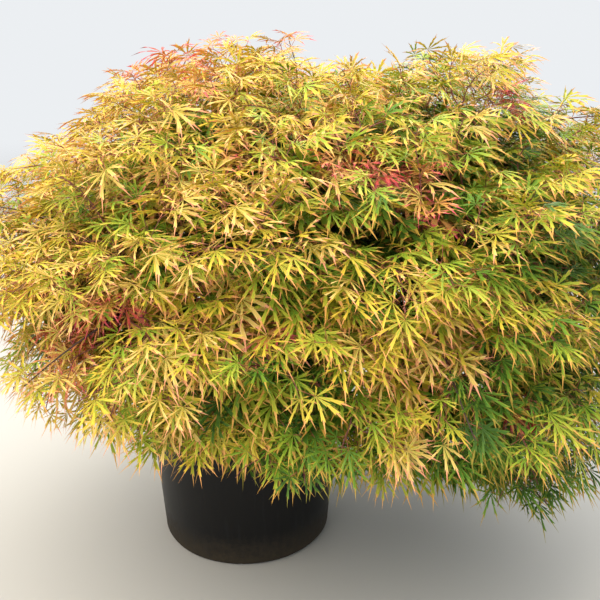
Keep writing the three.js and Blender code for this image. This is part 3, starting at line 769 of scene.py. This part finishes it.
stand = leaf_stand()
node, heading, turn = stand[:, 0:3], stand[:, 3:6], stand[:, 7:8]
pair, leaf_mass, leaf_spray = stand[:, [6, 8, 9]].astype(int).T
keys = np.arange(len(stand))
up = np.array([0.0, 0.0, 1.0])
outward = unit((node - HEART) * [1, 1, 0])
# every other pair is turned by 50 degrees, and its stalks leave the shoot to both sides
level = unit(np.cross(heading, up))
lift = np.cross(level, heading)
roll = np.radians(np.where(pair % 2, 62, 12) + between(-22, 22, 71, leaf_spray, pair))[:, None]
spread = turn * (level * np.cos(roll) + lift * np.sin(roll))
stalk = unit(heading * between(0.45, 0.8, 72, keys)[:, None] + spread * 0.85 + up * 0.15)
stalk_length = between(0.016, 0.034, 73, keys)
base = node + stalk * stalk_length[:, None] - up * (stalk_length * 0.15)[:, None]
# a blade hangs more and faces more outwards the lower it is
steep = lowness(node[:, 2], top=0.95, depth=0.45)
hang = between(-0.2, 0.25, 74, keys) + 0.35 * steep
aside = between(-0.6, 0.6, 70, keys)[:, None]
main = unit(stalk * [0.85, 0.85, 0.4] + outward * 0.35 + level * aside - up * hang[:, None])
face = up + outward * (0.35 + 0.7 * steep)[:, None]
face[:, 0] += between(-0.45, 0.45, 75, keys)
face[:, 1] += between(-0.45, 0.45, 76, keys)
normal = unit(face - main * (face * main).sum(1)[:, None])
# leaves near the heart are larger and simpler, and those at the surface cut deeply
depth = np.clip((reach_of(node) - 0.6) / 0.25, 0, 1)
length = LEAF_LENGTH * between(0.75, 1.25, 77, keys) * (1.25 - 0.25 * depth)
strip = 0.09 - 0.067 * depth
width = 0.12 - 0.056 * depth
droop = between(0.12, 0.42, 78, keys)
fold = between(-0.2, 0.8, 79, keys)
leaves = leaf_surface(base, main, normal, length, strip, width, droop, fold, keys)
print(len(leaves), "leaves on", len(np.unique(leaf_spray)), "shoots")

# %% [markdown]
# ## Where the crown is open
# The ground shows through the crown at a few places, and at its upper right the bare forks of
# twigs show in front of the leaves at the back. Leaves may not leave the crown's space either,
# nor touch a limb or the pot. So each leaf is tested, and a leaf that fails is left out. An
# opening is a place in the picture, a radius in pixels and how far back it reaches along Y.

# %% Leave out what doesn't fit
EYE = np.array([0.144, -1.91, 1.268])
PITCH = math.radians(18.5)
FOCAL, PICTURE = 800.0, 600
# most of a leaf's tips, drawn in a little, have to be in the crown
DRAWN_IN, SHARE_INSIDE = 0.965, 0.7
BOX_MARGIN, STALK_CLEARANCE = 0.02, 0.006
OPENINGS = np.array([(187, 236, 3, 1), (440, 262, 4, 1), (130, 330, 3, 1), (60, 402, 4, 1),
                     (481, 95, 9, 0.08), (436, 104, 9, 0.08), (190, 500, 23, 1),
                     (225, 503, 27, 1), (256, 511, 20, 1)])


def on_picture(points):
    """Where points fall on the square picture, by the rule of a pinhole camera: the focal
    length times the place beside the line of sight, over the depth along it."""
    step = points - EYE
    depth = step[..., 1] * math.cos(PITCH) - step[..., 2] * math.sin(PITCH)
    rise = step[..., 1] * math.sin(PITCH) + step[..., 2] * math.cos(PITCH)
    return np.stack([PICTURE / 2 + FOCAL * step[..., 0] / depth,
                     PICTURE / 2 - FOCAL * rise / depth], -1)


tips = leaves[:, LOBE_POINTS::LOBE_POINTS]
in_crown = inside_crown(HEART + (tips - HEART) * DRAWN_IN).mean(1) > SHARE_INSIDE
low, high = np.array(cad_box[0]) - BOX_MARGIN, np.array(cad_box[1]) + BOX_MARGIN
in_box = ((tips > low) & (tips < high)).all((1, 2))
seen = on_picture(leaves[:, 1::3])
beside = (np.linalg.norm(seen[:, :, None] - OPENINGS[:, :2], axis=-1) > OPENINGS[:, 2]).all(1)
closed = (beside | (leaves[:, :, 1].mean(1)[:, None] > OPENINGS[:, 3])).all(1)
free = clear_of_pot(tips).all(1) & clear_of_limbs(leaves[:, 0], STALK_CLEARANCE)
kept = in_crown & in_box & closed & free
print(int(kept.sum()), "leaves kept; left out:", (~in_crown).sum(), "outside the crown,",
      (~closed).sum(), "in openings,", (~free).sum(), "at a limb or the pot")

# %% [markdown]
# ## Autumn tints
# A maple turns spray by spray. Inner and lower leaves are still green, those in the light have
# gone lime, gold and peach, and a few sprays are red. Each leaf turns from its tips inwards, so
# its heart stays greener. Each spray is dealt one tint, and a leaf takes that tint's four plain
# colours from its heart to its tips. Leaves are matt with a soft sheen: roughness about 0.5.

# %% Tints, from green to red
TINTS = {
    "deep_green": ("36561C", "466A1E", "5E8224", "948A30"),
    "green": ("4E7C26", "688E28", "8CA02E", "B89638"),
    "fresh_green": ("6E9628", "90AA30", "B8B43A", "D8A44C"),
    "lime": ("8AA62E", "B0BA38", "D4C648", "E6AC5C"),
    "gold": ("A0AA30", "CCB838", "E6C648", "EAA662"),
    "peach": ("B2AC48", "DCBC5E", "F0CE80", "F0A47C"),
    "rose": ("BA983E", "DEA05A", "EE8470", "E05C6A"),
    "crimson": ("945430", "B84638", "BA383E", "942A38"),
}
ZONES = ("heart", "blade", "end", "tip")
leaf_materials = [
    new_material(f"maple_leaf_{tint}_{zone}", Base_Color=linear(code), Roughness=0.52, IOR=1.45,
                 Specular_IOR_Level=0.35)[0]
    for tint, colours in TINTS.items() for zone, code in zip(ZONES, colours)]
print(len(leaf_materials), "leaf materials")

# %% [markdown]
# ## Dealing the tints
# Warmth says how far a spray has turned: it grows with height, towards the light at the crown's
# surface, and to the left, and each spray strays by chance. It is partly real turning and partly
# painted light and shade: sprays higher and farther out are paler and warmer partly as painted
# light, those to the left wholly as painted light from the lamp's side, and low and inner ones are
# greener and darker partly as painted shade. Some patches stand out on the real plant: red or
# peach sprays, a tier of gold and sprays in the shade that are still green, which paint that shade
# darker too. Each is given by its place in the picture and a radius in pixels, and takes the
# sprays in front there.

# %% Deal a tint to each spray
# the green and fresh green patches low in front of the pot and at the right are partly painted
# shade: greener and darker where the crown's shade falls
ACCENTS = [
    ("gold", 446, 322, 58), ("peach", 430, 330, 42), ("green", 566, 246, 38),
    ("lime", 236, 366, 30), ("green", 500, 408, 44), ("gold", 548, 158, 26),
    ("rose", 203, 56, 34), ("crimson", 166, 48, 12), ("rose", 290, 40, 26),
    ("rose", 132, 70, 24), ("rose", 540, 62, 24), ("crimson", 494, 106, 15),
    ("crimson", 372, 168, 14), ("rose", 338, 156, 18), ("rose", 243, 164, 14),
    ("crimson", 104, 312, 27), ("crimson", 62, 328, 20), ("rose", 430, 198, 28),
    ("crimson", 505, 408, 13), ("peach", 216, 274, 30), ("peach", 388, 346, 34),
    ("peach", 165, 196, 30), ("rose", 350, 50, 17), ("peach", 330, 126, 30),
    ("rose", 275, 330, 10), ("rose", 66, 364, 22), ("fresh_green", 305, 458, 38),
    ("green", 322, 470, 22),
]
# warmth starts from a share and grows by these up the crown, to its left, out to its surface, in
# its shelves and by chance, and it falls by the last in the shade near the ground. It carries
# painted light and shade: the height, surface and shelf terms are partly real turning and partly
# painted light, the left one is painted light from the lamp's side, and the last is partly greener
# leaves and partly painted shade
START, UPWARD, PAINTED_LIGHT_LEFTWARD, OUTWARD, SHELVED, STRAY, LOW_GREEN_AND_PAINTED_SHADE = 0.48, 0.28, 0.38, 1.5, 0.18, 0.27, 0.35
# steps of tint to a warmth of 1, and the shares of red sprays at the back
STEPS, RED_SHARES = 6.2, dict(rose=0.05, crimson=0.015)


def deal_tints():
    """A tint number for each spray: how far it has turned, with painted light and shade, in steps
    from deep green to peach, then a few red ones by chance at the back, then the accents at the
    front, later ones over earlier ones."""
    names = list(TINTS)
    tips = np.concatenate([grown[name][0][1:, -1] for name in mass_names])
    reach = reach_of(tips)
    number = np.arange(len(tips))
    height = (tips[:, 2] - 0.3) / 0.95
    # painted light and shade: sprays higher, farther out, on raised shelves and to the left come
    # out paler and warmer, low ones greener and darker
    warmth_and_light = (START + UPWARD * height - PAINTED_LIGHT_LEFTWARD * (tips[:, 0] - HEART[0]) / HALF_WIDTH
              + OUTWARD * (reach - 0.82) + SHELVED * shelves(tips)
              + between(-STRAY, STRAY, 81, number)
              - LOW_GREEN_AND_PAINTED_SHADE * lowness(tips[:, 2], top=0.56, depth=0.15))
    dealt = np.clip(np.floor(warmth_and_light * STEPS), 0, names.index("peach")).astype(int)
    red = chance(82, number)
    behind = (reach > 0.8) & (tips[:, 1] > HEART[1])
    for tint, share in RED_SHARES.items():
        dealt[(red < share) & behind] = names.index(tint)
    spot = on_picture(tips)
    facing = ((tips - HEART) * (EYE - tips)).sum(1) > -0.4
    for tint, across, down, radius in ACCENTS:
        near = np.linalg.norm(spot - [across, down], axis=1) < radius
        dealt[near & facing] = names.index(tint)
    return dealt


spray_tint = deal_tints()
counts = np.bincount(spray_tint, minlength=len(TINTS)).tolist()
print("sprays to a tint:", dict(zip(TINTS, counts)))

# %% Join the leaves of each mass
for number, name in enumerate(mass_names):
    chosen = np.flatnonzero(kept & (leaf_mass == number))
    # the pairs farther from the tip, and some leaves by chance, are a tint greener
    greener = np.maximum(pair[chosen] - 1, 0) + (chance(83, chosen) < 0.3)
    own = spray_tint[leaf_spray[chosen]]
    tint = np.maximum(own - greener, 0)[:, None] * len(ZONES)
    piece_from(
        name.replace("foliage", "leaves"), leaves[chosen].reshape(-1, 3),
        [copies(faces, len(chosen), LEAF_POINTS) for faces in (leaf_triangles, leaf_quads)],
        leaf_materials, [name],
        choice=np.concatenate([(tint + triangle_zones).ravel(), (tint + quad_zones).ravel()]),
        smooth=False)

# %% [markdown]
# ## Twigs and leaf stalks as meshes
# All the shoots have the same number of rings, so one set of arrays makes them together. The
# young ends are wine-red and the older wood is dark purple-brown. A leaf stalk is thinner than
# a matchstick, so three sides are enough.

# %% Tubes for shoots and stalks
SHOOT_SIDES, STALK_SIDES = 5, 3
STALK_RADIUS, YOUNG_RADIUS = 0.0007, 0.0022


def many_tubes(paths, radii, sides):
    """Tubes along many paths at once: paths (tube, ring, 3) and radii (tube, ring). Each ring's
    spokes stand square to the path, turned from one direction that is kept along the tube."""
    headings = unit(np.gradient(paths, axis=1))
    aside = np.where(np.abs(headings[:, :1, 2:]) < 0.8, [0.0, 0, 1], [0.0, 1, 0])
    spokes = unit(np.cross(headings, aside))
    across = np.cross(headings, spokes)
    angle = np.linspace(0, 2 * math.pi, sides, endpoint=False)[:, None]
    ring = spokes[:, :, None] * np.cos(angle) + across[:, :, None] * np.sin(angle)
    body = (paths[:, :, None] + ring * radii[:, :, None, None]).reshape(len(paths), -1, 3)
    points = np.concatenate([body, paths[:, :1], paths[:, -1:]], 1)
    return points.reshape(-1, 3), *(copies(faces, len(paths), points.shape[1])
                                    for faces in closed_grid(paths.shape[1], sides))


# dull old wood, and the satin skin of young shoots and of stalks
wood, young, stalk_skin = (
    new_material(name, Base_Color=linear(code), Roughness=roughness, IOR=1.45)[0]
    for name, code, roughness in (("maple_twig_wood", "4B3836", 0.6),
                                  ("maple_young_shoot", "7C4640", 0.5),
                                  ("maple_leaf_stalk", "A8604A", 0.5)))
shares = np.linspace(0, 1, RINGS)
for number, name in enumerate(mass_names):
    shoots, starts, ends = grown[name]
    sunk = shoots.copy()
    sunk[1:, 0] -= unit(shoots[1:, 1] - shoots[1:, 0]) * (starts[1:, None] * 0.5)
    radii = starts[:, None] + (ends - starts)[:, None] * shares**0.7
    tubes = many_tubes(sunk, radii, SHOOT_SIDES)
    chosen = kept & (leaf_mass == number)
    stems = np.stack([node[chosen], base[chosen]], 1)
    stalks = many_tubes(stems, np.full((len(stems), 2), STALK_RADIUS), STALK_SIDES)
    # a face takes the wood, the young skin or the stalk's skin by its number: 0, 1 or 2
    young_walls = np.repeat(radii[:, :-1].mean(1) < YOUNG_RADIUS, SHOOT_SIDES * (RINGS - 1))
    young_ends = np.repeat(radii.mean(1) < YOUNG_RADIUS, SHOOT_SIDES * 2)
    shift = len(tubes[0])
    piece_from(
        name.replace("foliage", "twigs"), np.concatenate([tubes[0], stalks[0]]),
        [tubes[1], stalks[1] + shift, tubes[2], stalks[2] + shift],
        [wood, young, stalk_skin], [name],
        choice=np.concatenate([young_walls, np.full(len(stalks[1]), 2),
                               young_ends, np.full(len(stalks[2]), 2)]))

# %% [markdown]
# ## The nursery pot
# The pot is blow-moulded polyethylene: one smooth tapering wall with a rounded foot and a
# thickened band for a rim. A turned profile gives it, and because the wall is thin and soft it
# is never quite round, so its radius wanders by under a millimetre.

# %% Turn the pot
def wall_radius(height):
    """The outer wall's radius, straight from the foot to the rim."""
    return POT["foot"] + (POT["rim"] - POT["foot"]) * height / POT["height"]


def arc(centre, radius, start, end, count):
    """Points of a circle's arc between two angles in degrees."""
    angle = np.radians(np.linspace(start, end, count))
    return np.stack([centre[0] + radius * np.cos(angle), centre[1] + radius * np.sin(angle)], -1)


def straight(a, b, count):
    """Evenly spaced points from a to b, without the ends."""
    return np.linspace(a, b, count + 2)[1:-1]


def turned_surface(profile, sides, waver=0.0, key=0):
    """A profile of radius and height turned round the Z axis, closed on the axis at both ends.
    The radius wavers by slow waves round it."""
    angle = np.linspace(0, 2 * math.pi, sides, endpoint=False)
    ring = profile[1:-1]
    wave = rippled(np.tile(angle, (len(ring), 1)), np.repeat(ring[:, 1:] * 0.12, sides, 1), key, 5)
    radius = ring[:, :1] + waver * wave
    points = np.stack([radius * np.cos(angle), radius * np.sin(angle),
                       np.repeat(ring[:, 1:], sides, 1)], -1).reshape(-1, 3)
    poles = [[0, 0, profile[0, 1]], [0, 0, profile[-1, 1]]]
    return np.concatenate([points, poles]), *closed_grid(len(ring), sides)


def pot_profile():
    """From the middle of the underside out, up the wall, over the band and down inside, with
    a rounding at each corner."""
    foot, under_band, band, lip, inner_lip = 0.014, 0.003, 0.004, 0.0035, 0.002
    top, low, inner_foot = POT["height"], POT["height"] - POT["band"], 0.006
    edge, inner_rim = POT["rim"] + POT["band_depth"], POT["rim"] - POT["wall"]
    inner_wall = wall_radius(inner_foot) - POT["wall"]
    return np.concatenate([
        [[0, 0]], straight([0, 0], [POT["foot"] - foot, 0], 6),
        arc((wall_radius(foot) - foot, foot), foot, -90, -4, 9),
        straight([wall_radius(foot), foot], [wall_radius(low), low], 40),
        arc((wall_radius(low) + under_band, low - under_band), under_band, 180, 100, 4),
        arc((edge - band, low + band), band, -80, 0, 5),
        arc((edge - lip, top - lip), lip, 0, 90, 6),
        arc((inner_rim + inner_lip, top - inner_lip), inner_lip, 90, 180, 4),
        straight([inner_rim, top - inner_lip], [inner_wall, inner_foot], 16),
        [[inner_wall - 0.002, POT["floor"]], [0, POT["floor"]]],
    ])


print("the pot's profile has", len(pot_profile()), "points")

# %% [markdown]
# ## Moulded black plastic
# Nursery polyethylene is a soft black with a satin skin: IOR 1.5, roughness about 0.45. It is
# scuffed in streaks 10 mm wide that run down, greyed by the weather in clouds, and dusted brown
# in spots near the ground, where rain splashes the soil up. The skin has a faint orange peel
# about 3 mm across.

# %% Blow-moulded polyethylene, weathered
def nursery_plastic():
    """Black, with a dust mask that fades from the ground up to 130 mm and breaks up in spots,
    and roughness that rises with the dust."""
    material, tree, shader = new_material("blow_moulded_polyethylene", IOR=1.5,
                                          Specular_IOR_Level=0.25)
    place = add_node(tree, "TexCoord").outputs["Object"]
    parts = add_node(tree, "SeparateXYZ", {"Vector": place})
    low = add_node(tree, "MapRange", {"Value": parts.outputs["Z"], "From Min": 0.0,
                                      "From Max": 0.13, "To Min": 1.0, "To Max": 0.0})
    spots = add_node(tree, "TexNoise",
                     {"Vector": place, "Scale": 80, "Detail": 8, "Roughness": 0.75})
    cloud = add_node(tree, "TexNoise", {"Vector": place, "Scale": 6, "Detail": 3})
    streaky = add_node(tree, "Mapping", {"Vector": place, "Scale": (60, 60, 5)})
    streaks = add_node(tree, "TexNoise", {"Vector": streaky, "Scale": 1.6, "Detail": 5})
    dust = add_node(tree, "Math", {0: low, 1: spots}, operation="MULTIPLY")
    grey = add_node(tree, "ValToRGB", {"Fac": cloud}, [(0.35, "060607"), (0.68, "0C0C0D")])
    scuffed = add_node(tree, "ValToRGB", {"Fac": streaks}, [(0.56, 0), (0.8, 0.35)])
    marked = add_node(tree, "Mix", {0: scuffed, 6: grey, 7: linear("25272B")}, data_type="RGBA")
    dusty = add_node(tree, "ValToRGB", {"Fac": dust}, [(0.16, 0), (0.5, 0.9)])
    coated = add_node(tree, "Mix", {0: dusty, 6: marked.outputs[2], 7: linear("3A3226")},
                      data_type="RGBA")
    tree.links.new(coated.outputs[2], shader.inputs["Base Color"])
    rough = add_node(tree, "MapRange", {"Value": dusty, "To Min": 0.42, "To Max": 0.85})
    tree.links.new(rough.outputs["Result"], shader.inputs["Roughness"])
    peel = add_node(tree, "TexNoise", {"Vector": place, "Scale": 330, "Detail": 2})
    bump = add_node(tree, "Bump", {"Height": peel, "Strength": 0.25, "Distance": 0.0006})
    tree.links.new(bump.outputs["Normal"], shader.inputs["Normal"])
    return material


points, quads, fans = turned_surface(pot_profile(), sides=192, waver=0.0007, key=90)
piece_from("nursery_pot", points, [quads, fans], [nursery_plastic()], ["pot"])

# %% [markdown]
# ## The bark mix
# The pot is filled with composted bark to 35 mm under its rim. Its top is a closed turned
# surface with lumps, and loose flakes of bark lie on it. A flake is a small bent slab, dealt
# out by chance, half sunk in the mix.

# %% Composted bark, loose and damp
EDGE_HEIGHT, MOUND_EDGE = 0.375, 0.243
FLAKES, FLAKES_WITHIN = 1400, 0.233


def bark_mix():
    """Dark browns in crumbs about 8 mm across, with deep gaps between them."""
    material, tree, shader = new_material("composted_bark_mix", Roughness=0.95, IOR=1.4)
    place = add_node(tree, "TexCoord").outputs["Object"]
    crumbs = add_node(tree, "TexVoronoi", {"Vector": place, "Scale": 125})
    blend = add_node(tree, "TexNoise", {"Vector": place, "Scale": 60, "Detail": 6})
    tone = add_node(tree, "ValToRGB", {"Fac": blend},
                    [(0.3, "1D140E"), (0.55, "3A281C"), (0.75, "6A4D35")])
    tree.links.new(tone.outputs["Color"], shader.inputs["Base Color"])
    bump = add_node(tree, "Bump", {"Height": crumbs, "Strength": 0.9, "Distance": 0.003},
                    invert=True)
    tree.links.new(bump.outputs["Normal"], shader.inputs["Normal"])
    return material


def mound(far, edge):
    """The mix's height at a distance from the middle: level there, then falling to the edge."""
    return np.interp(far, [0, 0.075, 0.15, edge], [SOIL_HEIGHT, SOIL_HEIGHT, 0.382, EDGE_HEIGHT])


def soil_surface(sides=160, waves=40):
    """A closed turned body: a mounded top, a side and a flat base. The lumps on its top are up
    to 3 mm high, a sum of waves that run all ways."""
    inset, base = POT["wall"] + SOIL_GAP, POT["floor"] + SOIL_GAP
    edge = wall_radius(EDGE_HEIGHT) - inset
    rings = np.linspace(0, edge, 60)[1:]
    profile = np.concatenate([[[0, SOIL_HEIGHT]], np.stack([rings, mound(rings, edge)], -1),
                              [[wall_radius(base) - inset, base], [0, base]]])[::-1]
    points, quads, fans = turned_surface(profile, sides)
    top = (points[:, 2] > 0.3) & (np.hypot(points[:, 0], points[:, 1]) < edge - 0.002)
    index = np.arange(waves)
    tilt = between(0, 2 * math.pi, 91, index)
    pace = between(60, 420, 92, index)
    phase = between(0, 2 * math.pi, 93, index)
    lumps = np.cos(pace * (points[:, :1] * np.cos(tilt) + points[:, 1:2] * np.sin(tilt)) + phase)
    points[:, 2] += top * (lumps.sum(1) / waves**0.5 * 0.0011 - 0.0005)
    return points, quads, fans


def bark_flakes(count):
    """Bent slabs of six corners and a thickness, turned at random and laid on the mix: a plan
    outline of four corners, a raised ridge across the middle, top and underside."""
    index = np.arange(count)
    angle = between(0, 2 * math.pi, 94, index)
    far = np.sqrt(between(0.05, 0.985, 95, index)) * FLAKES_WITHIN
    centre = np.stack([far * np.cos(angle), far * np.sin(angle), mound(far, MOUND_EDGE)], -1)
    turned = between(0, 2 * math.pi, 96, index)
    long = np.stack([np.cos(turned), np.sin(turned), between(-0.35, 0.35, 97, index)], -1)
    wide = unit(np.cross(np.stack([between(-0.4, 0.4, 98, index), between(-0.4, 0.4, 99, index),
                                   np.ones(count)], -1), long))
    thick = unit(np.cross(long, wide))
    size = between(0.005, 0.014, 100, index)[:, None, None]
    outline = np.array([(-1, -0.35, 0), (0, -0.5, 0.16), (1, -0.3, 0), (0.9, 0.35, 0),
                        (0, 0.45, 0.14), (-0.9, 0.3, 0)])
    plan = np.concatenate([outline + [0, 0, 0.12], outline - [0, 0, 0.12]])
    points = centre[:, None] + size * (plan[:, :1] * long[:, None] + plan[:, 1:2] * wide[:, None]
                                       + plan[:, 2:] * thick[:, None])
    rim = np.arange(6)
    after = (rim + 1) % 6
    quads = np.concatenate([[(0, 1, 4, 5), (1, 2, 3, 4), (11, 10, 7, 6), (10, 9, 8, 7)],
                            np.stack([rim + 6, after + 6, after, rim], -1)])
    return points.reshape(-1, 3), copies(quads, count, len(plan))


points, quads, fans = soil_surface()
piece_from("bark_mix", points, [quads, fans], [bark_mix()], ["soil"])
# dry, dull bark: most flakes show their dark outer side, the others their pale inner one
flake_bark = [new_material(name, Base_Color=linear(code), Roughness=0.9, IOR=1.4)[0]
              for name, code in (("bark_flake_dark", "4A3323"), ("bark_flake_pale", "8A6A4A"))]
points, quads = bark_flakes(FLAKES)
pale = chance(101, np.arange(FLAKES)) > 0.7
piece_from("bark_flakes", points, [quads], flake_bark, ["soil"],
           choice=np.repeat(pale, len(quads) // FLAKES), smooth=False)

# %% [markdown]
# ## Floor, light and camera
# The plant stands on a plain pale floor, whose paint fades into the backdrop, under soft light
# as on an overcast day: a wide lamp high in front at the left, a smaller one high behind and a
# pale sky all round. The camera stands as high as the crown's top, tilted down by 18.5 degrees,
# with a 48 mm lens on a 36 mm sensor.

# %% Floor
FADE_FROM, FADE_TO = 1.6, 9.0


def floor_paint(near, far):
    """A pale paint that gives way to nothing, so that the backdrop shows, from near to far."""
    material, tree, shader = new_material("pale_floor_paint", Base_Color=linear("BEBDBA"),
                                          Roughness=0.8)
    place = add_node(tree, "TexCoord").outputs["Object"]
    distance = add_node(tree, "VectorMath", {0: place}, operation="LENGTH").outputs["Value"]
    fade = add_node(tree, "MapRange", {"Value": distance, "From Min": near, "From Max": far},
                    interpolation_type="SMOOTHSTEP")
    clear = add_node(tree, "BsdfTransparent")
    blend = add_node(tree, "MixShader", {0: fade, 1: shader, 2: clear})
    tree.links.new(blend.outputs["Shader"], tree.nodes["Material Output"].inputs["Surface"])
    return material


mesh = bpy.data.meshes.new("studio_floor")
mesh.from_pydata([(-30, -30, 0), (30, -30, 0), (30, 30, 0), (-30, 30, 0)], [], [(0, 1, 2, 3)])
mesh.materials.append(floor_paint(FADE_FROM, FADE_TO))
floor = put_in_scene("studio_floor", mesh)
print("the floor fades from", FADE_FROM, "to", FADE_TO, "m from the pot")


# %% Light
def add_lamp(name, place, target, size, watts, colour):
    """A square lamp at a place, turned to a target."""
    lamp = bpy.data.lights.new(name, "AREA")
    lamp.size, lamp.energy, lamp.color = size, watts, linear(colour)[:3]
    hung = put_in_scene(name, lamp)
    hung.location = place
    x, y, z = np.array(target) - place
    hung.rotation_euler = math.atan2(math.hypot(x, y), -z), 0, math.atan2(y, x) - math.pi / 2


add_lamp("sky_panel", (-1.7, -1.5, 3.9), (0.1, 0, 0.7), size=4.6, watts=262, colour="FFF4E0")
add_lamp("back_panel", (1.2, 2.4, 3.6), (0.1, 0, 0.8), size=3.6, watts=150, colour="FFFAF0")
world = bpy.data.worlds.new("pale_sky")
world.use_nodes = True
sky = world.node_tree.nodes["Background"]
sky.inputs["Color"].default_value = linear("E9ECEF")
sky.inputs["Strength"].default_value = 1.03
bpy.context.scene.world = world
bpy.context.scene.view_settings.view_transform = "Standard"
print(len(bpy.data.lights), "lamps and a pale sky")

# %% Camera
lens = bpy.data.cameras.new("viewer")
lens.sensor_width = 36
lens.lens = lens.sensor_width * FOCAL / PICTURE
viewer = put_in_scene("viewer", lens)
viewer.location = EYE
viewer.rotation_euler = (math.pi / 2 - PITCH, 0, 0)
bpy.context.scene.camera = viewer
print("lens of", lens.lens, "mm")
